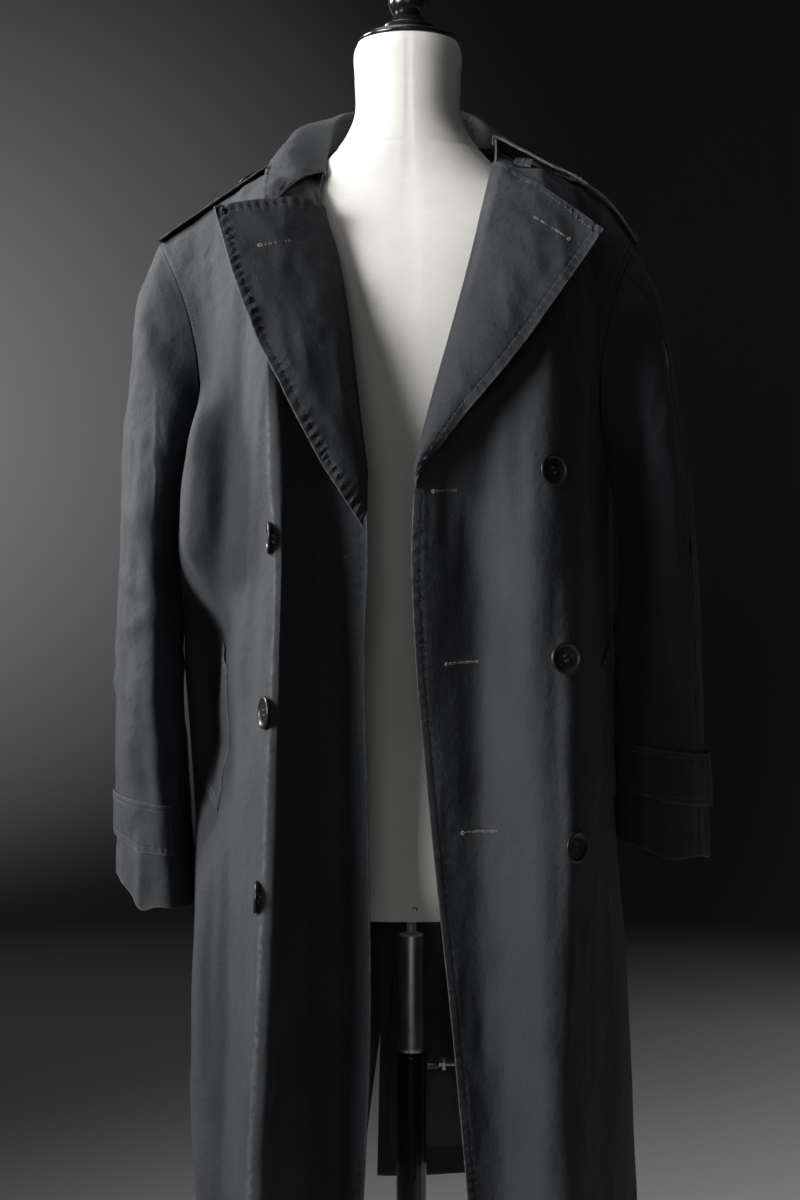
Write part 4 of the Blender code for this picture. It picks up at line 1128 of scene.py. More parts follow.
def make_lining(side, back):
    """Lining inside one half of the back, from above the hem to the waist."""
    low, high = ((5.5, CENTRE_BACK - 0.12) if side == "left" else (CENTRE_BACK + 0.12, 12.5))
    hem_row = LINING_HEM / (BACK[1][0] - BACK[0][0])
    rows = places(lambda row: back.spot(7 if side == "left" else 11, row)[0], hem_row, 4,
                  SEAM_STEPS, SEAM_STEPS, LINING_ROWS)
    cloth = Cloth(lambda line, row: back.spot(line, row, -CLOTH - 2 * LAY_GAP)[0],
                  lambda row: np.linspace(low, high, LINING_COLUMNS), rows, facing=-FORWARD)
    cloth.push(-0.5 * (1 + cloud(cloth.points, (18, 30, 160), 71)))
    cloth.settle()
    dress(cloth, f"lining_{side}", LINING, ("v0",), look="lining")


# ---------------------------------------------------------------- sleeves
# x and z of both ends, half width and height, seen from the front
SLEEVE_FOLDS = {
    "left": (
        (-240, 1235, -241, 1060, 2.6, 1.6), (-264, 1240, -268, 1120, 2.6, 1.4),
        (-262, 1290, -215, 1200, 12, 4), (-270, 1190, -225, 1130, 10, 3),
        (-280, 1120, -222, 1060, 12, 4), (-285, 1050, -225, 1010, 9, 3.5),
        (-225, 1020, -280, 985, 9, 3.5), (-288, 950, -240, 900, 10, 3),
        (-259, 800, -259, 690, 6, 4), (-272, 800, -274, 690, 7, -3), (-262, 880, -246, 800, 9, -5),
    ),
    "right": (
        (262, 1280, 215, 1190, 12, 4), (275, 1150, 215, 1100, 11, 4),
        (285, 1080, 215, 1030, 10, 4), (215, 1010, 285, 970, 10, 3.5),
        (290, 930, 230, 890, 10, 3),
    ),
}
# x, half width and drop of the uneven cuff edges
CUFF_DROPS = {"left": ((-290, 16, 12), (-257, 12, -9)), "right": ((286, 14, 4), (250, 14, -4))}
SLEEVE_FULL = {"left": 30, "right": 8}   # how far a sleeve stands forward along its front seam
SLEEVE_ROWS, WIDE_COLUMNS, SLEEVE_COLUMNS = 175, 80, 56


def shape_cuff(cloth, drops):
    """Lets the lower edge of a sleeve rise and fall, front and back alike."""
    x = cloth.points[..., 0]
    for middle, half_width, drop in drops:
        cloth.points[..., 2] += drop * bump(x, middle, half_width) * bump(cloth.edge["v1"], 0, 45)
    cloth.renew()


def make_sleeve(side):
    """A two-piece sleeve: top sleeve and under sleeve meet at its two long seams."""
    first, second = SLEEVE_SEAMS[side]
    rows = places(lambda station: sleeve_point(side, 0, station), 0, 7, SEAM_STEPS, HEM_STEPS,
                  SLEEVE_ROWS, samples=120)

    def point(k, station):
        full = SLEEVE_FULL[side] * bump(k, 5.9, 1.5) * ease(station)
        return sleeve_point(side, k, station) + Vector(
            (0, -full * (1 - 0.3 * ease((station - 3.5) / 3)), 0))

    cloths = {}
    for name, start, end, seed in (("top", first, second, 80),
                                   ("under", second, first + SLEEVE_SIDES, 90)):
        columns = WIDE_COLUMNS if name == "top" and side == "left" else SLEEVE_COLUMNS

        def across(station):
            return places(lambda k: sleeve_point(side, k, station), start, end, SEAM_STEPS,
                          SEAM_STEPS, columns)

        cloth = Cloth(point, across, rows, away_from=lambda p: p.mean(axis=0, keepdims=True))
        if name == "top":
            cloth.fold(SLEEVE_FOLDS[side])
        seams = ("u0", "u1", "v0")
        cloth.rumple("sleeve", seed, seams)
        shape_cuff(cloth, CUFF_DROPS[side])
        cloth.settle()
        cloth.groove(seams, 0.8, 1.5)
        cloth.pucker(("v0",), 3, 0.45, 11, seed + 3)
        cloth.pucker(("v1",), HEM_STITCH, 0.35, 12, seed + 4)
        dress(cloth, f"sleeve_{side}_{name}", CLOTH, ("v1",),
              [cloth.path("v1", HEM_STITCH)])
        cloths[name] = cloth
    return cloths


# ---------------------------------------------------------------- lapels and collar
ROLL_DEPTH, ROLL_BULGE = 3.35, 2.5       # half depth of a lapel's roll, and how far it bulges
ROLL_TURNS = (-1, -0.85, -0.7, -0.56, -0.42, -0.28, -0.14)
WRAP_ROWS, PAST_FOLD = (0, 0.25, 0.5, 0.6, 0.7, 0.8, 0.9), 1.0001
WRAP_MIDDLE, WRAP_WIDE, WRAP_HIGH = 1.5, 2.8, 3.3     # the leaf's turn over the stand
WRAP_DROP, WRAP_TUCK = 1, 5                           # how far it starts and ends below the fold
LAPEL_COLUMNS, LAPEL_TALL = 40, 110
STAND_COLUMNS, STAND_TALL, LEAF_COLUMNS, LEAF_TALL = 120, 16, 170, 14
LAPEL_STITCH = 8.5
LAPEL_ARCH = {"left": 6, "right": 2}     # how far a lapel's top edge arches up
LAPEL_BULGE = {"left": 2, "right": 6}    # how far it swells forward beside its roll
LAPEL_PUCKER = {"left": 1.9, "right": 1.2}


def make_lapel(side, front):
    """A lapel, which wraps round its front's edge, lies back over it and stays clear of it."""
    first, last = LAPEL_ROWS[side]

    def point(across, up):
        row = first + (last - first) * up
        if across < 0:
            p = lapel_point(side, 0, up)
            turn = -across * pi
            taper = min(1.0, 0.25 + up * 6)
            depth = (ROLL_DEPTH + LAPEL_TOP_GAP / 2 * up ** 4) * (1 - cos(turn))
            return p + Vector((-OUTWARD[side] * ROLL_BULGE * taper * sin(turn), depth, 0))
        p = lapel_point(side, across, up)
        p.z += LAPEL_ARCH[side] * sin(pi * across / 3) * max(0.0, up * 4 - 3) ** 2
        swell = min(1.0, across * 1.6) * max(0.0, 1 - across / 3)
        p.y -= LAPEL_BULGE[side] * swell * min(1, up * 4)
        off_roll = min(1.0, abs(p.x - front_edge(side, row).x) / TURN_REACH)
        return front.in_front(p, DOUBLE + LAY_GAP + TURN_GAP * off_roll) if across else p

    def across(up):
        return [*ROLL_TURNS, *places(lambda a: lapel_point(side, a, up), 0, 3, SEAM_STEPS,
                                     EDGE_STEPS, LAPEL_COLUMNS)]

    rows = places(lambda up: lapel_point(side, 2, up), LAPEL_START, 1, SEAM_STEPS, EDGE_STEPS,
                  LAPEL_TALL)
    cloth = Cloth(point, across, rows, facing=FORWARD)
    cloth.rumple("lapel", 100, ("u0",))
    cloth.settle()
    cloth.pucker(("u1", "v1"), LAPEL_STITCH, LAPEL_PUCKER[side], 9, 103)
    dress(cloth, f"lapel_{side}", DOUBLE, ("u1", "v1"),
          [cloth.path("u1", LAPEL_STITCH, ("v1",)),
           cloth.path("v1", LAPEL_STITCH, ("u1", "u0"))], thread="grey_thread")
    return cloth


def collar_wrap(station, v):
    """Point of the collar leaf's turn over the stand: v 0 is its inner end, 1 the fold."""
    fold = collar_point(1, station)
    along = collar_point(1, min(station + 0.05, 6)) - collar_point(1, max(station - 0.05, 0))
    inward = Vector((along.y, -along.x, 0)).normalized()
    if v < 0.5:
        return (fold + inward * (WRAP_MIDDLE + WRAP_WIDE)
                + Vector((0, 0, -WRAP_DROP - WRAP_TUCK * (1 - 2 * v))))
    turn = (v - 0.5) * pi
    return (fold + inward * (WRAP_MIDDLE + WRAP_WIDE * cos(turn))
            + Vector((0, 0, -WRAP_DROP + WRAP_HIGH * sin(turn))))


def make_collar(fronts):
    """The collar's stand round the neck, and its leaf, which turns down over the shoulders."""
    stations = places(lambda s: collar_point(1, s), 0, 6, SEAM_STEPS, SEAM_STEPS, STAND_COLUMNS)
    stand = Cloth(lambda s, line: collar_point(line, s), lambda line: stations,
                  np.linspace(0, 1, STAND_TALL), away_from=lambda p: UP * p)
    stand.drape(0.5, (30, 30, 20), 110, ("v0", "v1"), 8)
    dress(stand, "collar_stand", DOUBLE, ("u0", "u1"))

    def point(s, line):
        if line < 1:
            return collar_wrap(s, line)
        p = collar_point(max(line, PAST_FOLD), s)
        for front in fronts.values():
            p = front.in_front(p, DOUBLE + TURN_GAP)
        return p

    around = places(lambda s: collar_point(2.4, s), 0, 6, EDGE_STEPS, EDGE_STEPS, LEAF_COLUMNS)
    rows = [*WRAP_ROWS, *places(lambda line: collar_point(max(line, PAST_FOLD), 3), 1, 3,
                                SEAM_STEPS[:3], EDGE_STEPS, LEAF_TALL)]
    leaf = Cloth(point, lambda line: around, rows, away_from=lambda p: UP * p)
    leaf.rumple("leaf", 111, ("v0",))
    leaf.settle()
    leaf.pucker(("v1", "u0", "u1"), LAPEL_STITCH, 1.7, 9, 113)
    dress(leaf, "collar_leaf", DOUBLE, ("u0", "u1", "v1"),
          [leaf.path("v1", LAPEL_STITCH, ("u0", "u1")),
           *(leaf.path(edge, LAPEL_STITCH, ("v0", "v1")) for edge in ("u0", "u1"))],
          thread="grey_thread")


# ---------------------------------------------------------------- straps, tab and welts
STRAP_STEPS = (0, 0.8, 1.8, 3.1, 4.4, 5.3, 6, 6.7, 7.6, 9)
STRAP_STITCH = 6


def strap(point, across, along, columns, rows, middle=None, samples=(30, 60), **facing):
    """The cloth of a small piece; across and along are the first and last of its u and v places."""
    def row_places(v):
        return places(lambda u: point(u, v), *across, STRAP_STEPS, STRAP_STEPS, columns,
                      samples=samples[0])

    if middle is None:
        middle = sum(across) / 2
    return Cloth(point, row_places, places(lambda v: point(middle, v), *along, STRAP_STEPS,
                                           STRAP_STEPS, rows, samples=samples[1]), **facing)


def sew_down(cloth, node_name, edges, seed, wall=DOUBLE):
    """Finishes a small piece with a row of stitching inside its free edges."""
    cloth.settle()
    cloth.pucker(edges, STRAP_STITCH, 0.8, 7.5, seed)
    seams = [cloth.path(e, STRAP_STITCH, tuple(o for o in edges if o[0] != e[0])) for e in edges]
    dress(cloth, node_name, wall, edges, seams, thread="grey_thread", pitch=3.0,
          stitches="{}_cloth_stitches")


def make_welt(side, front):
    """Slanted pocket welt on a front, between its crease and its side."""
    front_ends = [Vector(end) for end in WELT_FRONT_EDGE]
    back_ends = [Vector(end) for end in WELT_BACK_EDGE]

    def point(across, down):
        line, row = (front_ends[0].lerp(front_ends[1], down)
                     .lerp(back_ends[0].lerp(back_ends[1], down), across))
        sewn = 1.5 * np.exp(-min(across, 1 - across) * 8)
        return front.spot(line, row, CLOTH + 2 * LAY_GAP - sewn)[0]

    sew_down(strap(point, (0, 1), (0, 1), 10, 60, facing=FORWARD), f"pocket_welt_{side}", EDGES,
             120, CLOTH)


def make_throat_tab(front):
    """The strap that closes the throat, folded away on the right shoulder under the collar."""
    first, last = THROAT_ROWS

    def point(line, k):
        return front.spot(line, first + (last - first) * k, DOUBLE + 2 * LAY_GAP
                          + THROAT_LIFT * k * k)[0]

    across = [LAST_LINE - line for line in reversed(THROAT_LINES)]
    sew_down(strap(point, across, (0, 1), 8, 12, facing=FORWARD), "throat_tab", EDGES,
             125)


def make_epaulette(side):
    """Shoulder strap from the sleeve seam to the collar."""
    rows = [Vector(row) for row in EPAULETTE[side]]

    def point(across, t):
        share, lift, half_width = smooth(rows, t)
        y = half_width * across
        return seam_point(side, share) + Vector((0, y - 2, lift - EPAULETTE_CURVE * y * y))

    cloth = strap(point, (-1, 1), (0, 5), 16, 50, facing=UP)
    cloth.drape(0.8, (30, 30, 30), 130)
    sew_down(cloth, f"epaulette_{side}", ("u0", "u1", "v0"),
             131)
    return cloth.spot(0.0, np.interp(EPAULETTE_BUTTON[side], [row[0] for row in rows], range(6)))


def make_cuff_strap(side, sleeves):
    """Strap round the sleeve's front, from its hidden end to a free end that stands off."""
    start, end = CUFF_STRAP_ENDS[side]
    top, bottom = CUFF_STRAP[side]

    def on_sleeve(sixteenth, station, out):
        for cloth in sleeves.values():
            if cloth.u[0, 0] <= sixteenth <= cloth.u[-1, 0]:
                return cloth.spot(sixteenth, station, out)[0]
        return sleeves["under"].spot(sixteenth + SLEEVE_SIDES, station, out)[0]

    def point(sixteenth, station):
        free = max(0.0, 1 - abs(sixteenth - end) / 3)
        curl = STRAP_CURL * free * (1 - 0.4 * (station - top) / (bottom - top))
        return on_sleeve(sixteenth, station, DOUBLE + LAY_GAP + curl)

    cloth = strap(point, (start, end), (top, bottom), 80, 12, middle=2, samples=(80, 30),
                  away_from=lambda p: p.mean(axis=0, keepdims=True))
    sew_down(cloth, f"cuff_strap_{side}", EDGES, 140)
    return cloth.spot(end + 0.6, (top + bottom) / 2)


# ---------------------------------------------------------------- turned pieces and buttons
BUTTON_RADIUS, BUTTON_HEIGHT, BUTTON_LIFT, SMALL_BUTTON = 15, 4, 0.6, 0.7
BUTTON_SIDES, BUTTON_HOLES = 64, 4
BUTTON_LEAN = radians(20)                # the left buttons hang turned towards the side
HOLE_RING, HOLE_SIZE = 0.24, 0.1         # where its holes lie and how wide, for a button's radius


def lathe(profile, sides, squash=None):
    """(points, faces, cloth coordinates) of a shape turned about Z from (height, radius) rows."""
    points, laid = [], []
    for k, (z, r) in enumerate(profile):
        deep = squash[k] if squash else r
        for s in range(sides):
            a = 2 * pi * s / sides - pi / 2
            points.append((r * cos(a), deep * sin(a), z))
            laid.append((min(s, sides - s) * 2 * pi / sides * r * MM, z * MM, 0))
    faces = [(k * sides + s, k * sides + (s + 1) % sides, (k + 1) * sides + (s + 1) % sides,
              (k + 1) * sides + s) for k in range(len(profile) - 1) for s in range(sides)]
    top = (len(profile) - 1) * sides
    faces += [tuple(reversed(range(sides))), tuple(range(top, top + sides))]
    return np.array(points), faces, np.array(laid)


def rounded(profile, radius=0.8, steps=3):
    """A profile with its inner corners cut round."""
    rows = [Vector(p) for p in profile]
    out = [rows[0]]
    for before, here, after in zip(rows, rows[1:], rows[2:]):
        r = min(radius, (here - before).length * 0.45, (after - here).length * 0.45)
        a, b = here + (before - here).normalized() * r, here + (after - here).normalized() * r
        for k in range(steps + 1):
            t = k / steps
            out.append(a * (1 - t) ** 2 + here * 2 * t * (1 - t) + b * t * t)
    return [(p.x, p.y) for p in (*out, rows[-1])]


def turned(name, node_name, profile, look, sides, centre, height):
    """A turned piece that stands for a CAD node, placed above the frame's origin."""
    points, faces, laid = lathe(profile, sides)
    piece = add_piece(name, points + np.array((0, 0, height)), faces, look, {"cloth": laid}, centre)
    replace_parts(piece, node_name)


def button_mesh(size):
    """Points and faces of a four-hole button with a raised rim and a dished middle."""
    r, h = BUTTON_RADIUS * size, BUTTON_HEIGHT * size
    profile = ((0, 0.5), (0, r * 0.72), (h * 0.12, r * 0.86), (h * 0.45, r * 0.985),
               (h * 0.7, r), (h * 0.88, r * 0.965), (h, r * 0.89), (h * 0.93, r * 0.82),
               (h * 0.66, r * 0.73), (h * 0.56, r * 0.62), (h * 0.55, 0.5))
    points, faces, _ = lathe(rounded(profile, 0.5 * size), BUTTON_SIDES)
    data = bpy.data.meshes.new("button")
    data.from_pydata([tuple(p) for p in points], [], faces)
    blank = bpy.data.objects.new("button", data)
    bpy.context.scene.collection.objects.link(blank)
    drills = []
    for k in range(BUTTON_HOLES):
        a = pi / 4 + k * pi / 2
        drill = bpy.data.meshes.new("drill")
        work = bmesh.new()
        hole = Matrix.Translation((r * HOLE_RING * cos(a), r * HOLE_RING * sin(a), 0))
        bmesh.ops.create_cone(work, cap_ends=True, segments=16, radius1=r * HOLE_SIZE,
                              radius2=r * HOLE_SIZE, depth=h * 4, matrix=hole)
        work.to_mesh(drill)
        work.free()
        cutter = bpy.data.objects.new("drill", drill)
        bpy.context.scene.collection.objects.link(cutter)
        drills.append(cutter)
        cut = blank.modifiers.new("hole", "BOOLEAN")
        cut.operation, cut.object, cut.solver = "DIFFERENCE", cutter, "EXACT"
    shaped = blank.evaluated_get(bpy.context.evaluated_depsgraph_get()).to_mesh()
    verts = np.array([v.co[:] for v in shaped.vertices])
    faces = [tuple(p.vertices) for p in shaped.polygons]
    for extra in (blank, *drills):
        bpy.data.objects.remove(extra, do_unlink=True)
    return verts, faces


def sew_button(name, node_name, spot, normal, mesh, size, turn, thread):
    """A button at a spot on the cloth, with its thread bars and shank added to a thread mesh."""
    verts, faces = mesh
    axes = np.array(normal.to_track_quat("Z", "Y").to_matrix() @ Matrix.Rotation(turn, 3, "Z"))
    foot = np.array(spot + normal * BUTTON_LIFT)
    piece = add_piece(name, verts @ axes.T + foot, faces, "horn")
    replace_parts(piece, node_name)
    r, h = BUTTON_RADIUS * size, BUTTON_HEIGHT * size
    top, hole = h * 0.56, r * HOLE_RING * 0.7071
    for sign in (-1, 1):
        for shift in (-0.5, 0, 0.5):
            y = sign * hole + shift * size
            a, b = np.array([(-hole, y, top), (hole, y, top)]) @ axes.T + foot
            thread.add(a, b, normal)
    for k in range(BUTTON_HOLES):
        a = k * pi / 2
        low = np.array((0.9 * size * cos(a), 0.9 * size * sin(a), -BUTTON_LIFT - 0.6))
        high = np.array((1.6 * size * cos(a), 1.6 * size * sin(a), 0.9))
        thread.add(low @ axes.T + foot, high @ axes.T + foot, axes @ np.array((cos(a), sin(a), 0)))


def make_buttons(fronts, others):
    """The coat buttons down both fronts, and the small ones on the straps."""
    meshes = {size: button_mesh(size) for size in (1.0, SMALL_BUTTON)}
    thread = Thread(0.42)
    turns = np.random.default_rng(7).uniform(-0.5, 0.5, 16)
    for side, front in fronts.items():
        for number, (line, row) in enumerate(BUTTONS[side], start=1):
            spot, normal = front.spot(line if side == "left" else LAST_LINE - line, row)
            if side == "left":
                normal = Matrix.Rotation(-BUTTON_LEAN, 3, "Z") @ normal
            name = f"button_{side}_{number}"
            sew_button(f"{name}_horn", name, spot, normal, meshes[1.0], 1.0,
                       turns[number + 3 * (side == "left")], thread)
    for number, (name, (spot, normal)) in enumerate(others.items()):
        sew_button(f"{name}_horn", name, spot, normal, meshes[SMALL_BUTTON], SMALL_BUTTON,
                   turns[8 + number], thread)
    thread.build("button_threads", "dark_thread")


# cloth, then x and z of a buttonhole's slit from its eyelet to its bar, the thread, and the
# share of its stitches that still show
BUTTONHOLES = (
    ("front_right", (22, 1119), (46, 1121), "pale_thread", 0.85),
    ("front_right", (35, 961), (65, 963), "pale_thread", 0.85),
    ("front_right", (50, 804), (82, 806), "pale_thread", 0.85),
    ("lapel_left", (-138, 1348), (-109, 1354), "pale_thread", 0.3),
    ("lapel_right", (148, 1354), (116, 1376), "pale_thread", 0.4),
    ("front_left", (-58, 1060), (-45, 1065), "grey_thread", 0.7),
)


def make_buttonholes(cloths):
    """Worked buttonholes: close cross stitches along both sides of a slit, round an eyelet, and a
    dark thread line down the slit as its painted shade.
    """
    threads = {"pale_thread": Thread(0.4), "grey_thread": Thread(0.4), "dark_thread": Thread(0.45)}
    for cloth_name, start, end, look, share in BUTTONHOLES:
        cloth = cloths[cloth_name]
        start, end = Vector(start), Vector(end)
        run = (end - start).normalized()
        side = Vector((-run.y, run.x))
        bars = []
        count = int((end - start).length / 0.95)
        frayed = np.random.default_rng(count).uniform(0, 1, (count, 3))
        for k in range(count):
            middle = start.lerp(end, (k + 0.5) / count) + side * (frayed[k, 1] - 0.5) * 0.5
            if frayed[k, 0] < share:
                bars += [(middle + side * sign * 0.15,
                          middle + side * sign * (0.7 + 0.7 * frayed[k, 2])) for sign in (-1, 1)]
        for k in range(12):
            turn = Vector((cos(k * pi / 6), sin(k * pi / 6)))
            bars.append((start + turn * 0.8, start + turn * 1.9))
        met = [(*cloth.seen(*near), cloth.seen(*far)[0]) for near, far in bars]
        stitches = [(a[:], b[:], normal[:]) for a, normal, b in met
                    if a is not None and b is not None]
        if stitches:
            threads[look].add(*zip(*stitches))
        # a dark thread line along the slit is painted shade in the cut
        slit, facing = zip(*(cloth.seen(*start.lerp(end, t)) for t in np.linspace(0, 1, 9)))
        if None not in slit:
            threads["dark_thread"].sew([p[:] for p in slit], [n[:] for n in facing], 2.2, 0.98)
    for look, thread in threads.items():
        thread.build(f"buttonholes_{look.split('_')[0]}", look)


# ---------------------------------------------------------------- bust and stand
NECK_TOP, NECK_SEAM, TORSO_BOTTOM = 1575, 1468, 714
BUST_SIDES, BUST_ROWS = 112, 190
TACK = (2.5, -105.7, 727)                # a nail head low on the bust's front
TUBE_RADIUS, TUBE_TOP, COLUMN_RADIUS, COLUMN_TOP = 12.5, 687, 15, 566
SCREW_HEIGHT, BASE_RADIUS, BASE_HEIGHT = 556, 190, 24
CAP_HEIGHT, BOSS_LENGTH = 26, 11.5
# height and radius along each turned piece
TACK_HEAD = ((0, 2.7), (0.7, 2.6), (1.3, 1.9), (1.7, 1.0), (1.8, 0.2))
CAP = ((0, 48), (3, 49.5), (7, 47), (8, 30), (11, 27), (18, 26), (20, 18), (CAP_HEIGHT, 16))
FINIAL = ((0, 12), (6, 17), (16, 20), (26, 18), (34, 11), (38, 9), (44, 12), (50, 9), (54, 3))
BOSS = ((0, 1), (0, 4.5), (10, 4.5), (BOSS_LENGTH, 3.5), (BOSS_LENGTH, 1))
SCREW = ((0, 0.5), (0, 2.5), (3, 2.5), (3.5, 6), (7, 6), (7.5, 1.8), (18, 1.8), (18, 0.5))
BASE = ((0, 5), (0, BASE_RADIUS - 1.5), (1.5, BASE_RADIUS), (8, BASE_RADIUS),
        (12, BASE_RADIUS - 3), (16, BASE_RADIUS - 30), (20, 60), (22, 42), (BASE_HEIGHT, 40),
        (BASE_HEIGHT, 5))
COLUMN = ((BASE_HEIGHT + SEAM_GAP, 3), (BASE_HEIGHT + SEAM_GAP, COLUMN_RADIUS),
          (COLUMN_TOP - 1, COLUMN_RADIUS), (COLUMN_TOP, COLUMN_RADIUS - 1),
          (COLUMN_TOP, TUBE_RADIUS - 2))


def draw_in(points, depth):
    """Moves points towards the Z axis."""
    radius = np.linalg.norm(points[:, :2], axis=1)
    points *= (1 - depth / radius)[:, None] ** np.array((1, 1, 0))


def make_bust():
    """The padded torso with its centre seams, the neck cap and the finial."""
    rows = [Vector(row) for row in BUST]
    steps = [smooth(rows, t) for t in np.linspace(0, len(rows) - 1, BUST_ROWS)]
    points, faces, laid = lathe([(p.x, p.y) for p in steps], BUST_SIDES, [p.z for p in steps])
    arc = laid[:, 0] / MM
    half = np.repeat([p.y for p in steps], BUST_SIDES) * pi
    draw_in(points, 0.8 * bump(np.minimum(arc, half - arc), 0, 1.5))
    draw_in(points, 0.9 * bump(points[:, 2], NECK_SEAM, 2.2))
    points += 0.35 * cloud(points, 60, 150)[:, None] * np.array((1, 1, 0))
    piece = add_piece("bust_canvas", points, faces, "canvas", {"cloth": laid})
    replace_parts(piece, "bust")
    head, faces, laid = lathe(TACK_HEAD, 24)
    head = head @ np.array(Matrix.Rotation(pi / 2, 3, "X")).T + np.array(TACK)
    add_piece("bust_tack", head, faces, "steel", {"cloth": laid}, 0)
    cap_base = NECK_TOP + SEAM_GAP
    turned("neck_cap_lacquer", "neck_cap", rounded(CAP, 1.2, 4), "black_gloss", 72, BUST_X,
           cap_base)
    finial = [Vector(row) for row in FINIAL]
    turned("finial_lacquer", "finial", [smooth(finial, t)[:] for t in np.linspace(0, 8, 49)],
           "black_gloss", 56, BUST_X, cap_base + CAP_HEIGHT + SEAM_GAP)


def make_stand():
    """Bolt, steel tube, black column, clamp screw and round base, from the bust down."""
    bolt = TORSO_BOTTOM - TUBE_TOP - 2 * SEAM_GAP
    ridges = [(0.6 + 0.6 * k, 4.5 + 0.5 * (k % 2)) for k in range(int(bolt / 0.6) - 1)]
    tube = TUBE_TOP - COLUMN_TOP - SEAM_GAP
    sleeve = ((0, 3), (0, 8.5), (2, 11.5), (6, TUBE_RADIUS), (tube - 1.5, TUBE_RADIUS), (tube, 11),
              (tube, 3))
    for name, node_name, profile, look, sides, height in (
            ("post_bolt_steel", "post_bolt", [(0, 4.4), *ridges, (bolt, 4.4)], "steel", 32,
             TUBE_TOP + SEAM_GAP),
            ("steel_tube_metal", "steel_tube", rounded(sleeve, 1.5, 4), "steel", 64,
             COLUMN_TOP + SEAM_GAP),
            ("column_lacquer", "column", rounded(COLUMN, 0.8), "black_gloss", 64, 0),
            ("base_lacquer", "base", rounded(BASE, 3, 4), "black_gloss", 128, 0)):
        turned(name, node_name, profile, look, sides, 0, height)
    foot = COLUMN_RADIUS + SEAM_GAP
    level = np.array(Matrix.Rotation(pi / 2, 3, "Y"))
    for name, node_name, profile, look, start in (
            ("screw_boss_lacquer", "screw_boss", BOSS, "black_gloss", foot),
            ("clamp_screw_steel", "clamp_screw", SCREW, "steel", foot + BOSS_LENGTH + SEAM_GAP)):
        points, faces, laid = lathe(rounded(profile, 0.4), 40)
        points = points @ level.T + np.array((start, 0, SCREW_HEIGHT))
        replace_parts(add_piece(name, points, faces, look, {"cloth": laid}, 0), node_name)


# ---------------------------------------------------------------- floor, light and camera
FLOOR_RADIUS, WALL_TURN, WALL_HEIGHT, WALL_SIDES = 4.3, 1.4, 6, 96
DARKENS = 2.9, 4.4                       # where the pale floor starts and ends to grow dark


def make_studio():
    """A pale round studio: the floor turns up into a wall all round, well clear of the coat."""
    turn = [(WALL_TURN - WALL_TURN * cos(a), FLOOR_RADIUS + WALL_TURN * sin(a))
            for a in np.linspace(0.1, pi / 2, 16)]
    profile = [(0, 0.02), (0, FLOOR_RADIUS), *turn, (WALL_HEIGHT, FLOOR_RADIUS + WALL_TURN)]
    points, faces, _ = lathe(profile, WALL_SIDES)
    data = bpy.data.meshes.new("studio")
    data.from_pydata(points.tolist(), [], faces[:-1])    # open at the top
    data.shade_smooth()
    look = Look("studio_paint")
    pale = look.blend(look.noise(look.place, 1.2), (0.74, 0.74, 0.735), (0.80, 0.80, 0.795))
    reach = look.node("ShaderNodeVectorMath", {0: look.stretched(look.place, (1, 1, 0))}, "Value",
                      operation="LENGTH")
    colour = look.blend(look.between(reach, 0, 1, *DARKENS), pale, (0.12, 0.12, 0.12))
    data.materials.append(look.finish({"Base Color": colour}, Roughness=0.9))
    floor = bpy.data.objects.new("studio", data)
    floor.location = (0, 0, -0.0005)
    bpy.context.scene.collection.objects.link(floor)


CHEST = (0, 0, 1.2)
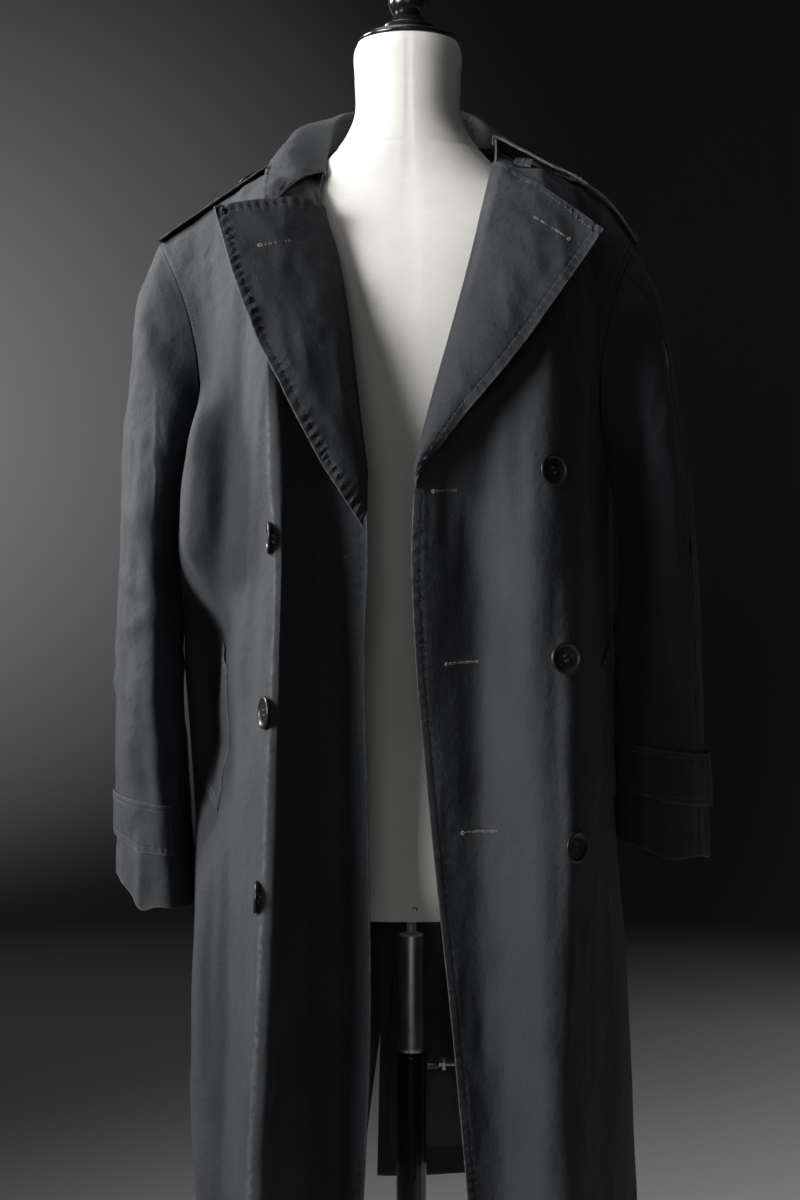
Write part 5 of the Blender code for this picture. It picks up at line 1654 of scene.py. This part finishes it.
# place, aim, size, beam in degrees and power of each soft light; the last one lights the wall
LIGHTS = (
    ((-2.8, -1.75, 2.0), (0.05, 0, 1.34), 2.0, 46, 26),
    ((-0.4, -3.4, 1.4), CHEST, 1.6, 60, 1),
    ((-0.6, 0.3, 3.4), CHEST, 1.6, 60, 2),
    ((-2.3, 0.9, 2.3), (0, 0, 1.43), 1.0, 46, 9),
    ((-2.6, 1.0, 1.5), (-2.1, 5.2, 1.7), 0.6, 54, 27),
)


def make_lights():
    """Soft lamps and a faint even sky."""
    for number, (place, aim, size, beam, power) in enumerate(LIGHTS):
        lamp = bpy.data.lights.new(f"soft_{number}", "AREA")
        lamp.shape, lamp.size, lamp.energy, lamp.spread = "SQUARE", size, power, radians(beam)
        made = bpy.data.objects.new(lamp.name, lamp)
        made.location, made.visible_camera = place, False
        made.rotation_euler = (Vector(place) - Vector(aim)).to_track_quat("Z", "Y").to_euler()
        bpy.context.scene.collection.objects.link(made)
    world = bpy.data.worlds.new("pale_room")
    world.use_nodes = True
    sky = world.node_tree.nodes["Background"].inputs
    sky["Color"].default_value = (0.86, 0.88, 0.92, 1)
    sky["Strength"].default_value = 0.03
    bpy.context.scene.world = world
    bpy.context.scene.view_settings.view_transform = "Standard"


CAMERA_PLACE, CAMERA_LENS, FILM_WIDTH = (-0.0115, -2.0, 1.02), 60, 36


def make_camera():
    """A camera level with the coat's middle, straight before it."""
    lens = bpy.data.cameras.new("camera")
    lens.lens, lens.sensor_width, lens.sensor_fit = CAMERA_LENS, FILM_WIDTH, "AUTO"
    made = bpy.data.objects.new("camera", lens)
    made.location = CAMERA_PLACE
    made.rotation_euler = (pi / 2, 0, 0)
    bpy.context.scene.collection.objects.link(made)
    bpy.context.scene.camera = made


def main():
    fronts = {side: make_front(side) for side in SIDES}
    backs = {side: make_back(side) for side in SIDES}
    small, cloths = {}, {f"front_{side}": front for side, front in fronts.items()}
    for side in SIDES:
        make_lining(side, backs[side])
        sleeves = make_sleeve(side)
        cloths[f"lapel_{side}"] = make_lapel(side, fronts[side])
        make_welt(side, fronts[side])
        small[f"epaulette_button_{side}"] = make_epaulette(side)
        small[f"cuff_button_{side}"] = make_cuff_strap(side, sleeves)
    make_collar(fronts)
    make_throat_tab(fronts["right"])
    make_buttons(fronts, small)
    make_buttonholes(cloths)
    make_bust()
    make_stand()
    make_studio()
    make_lights()
    make_camera()


main()
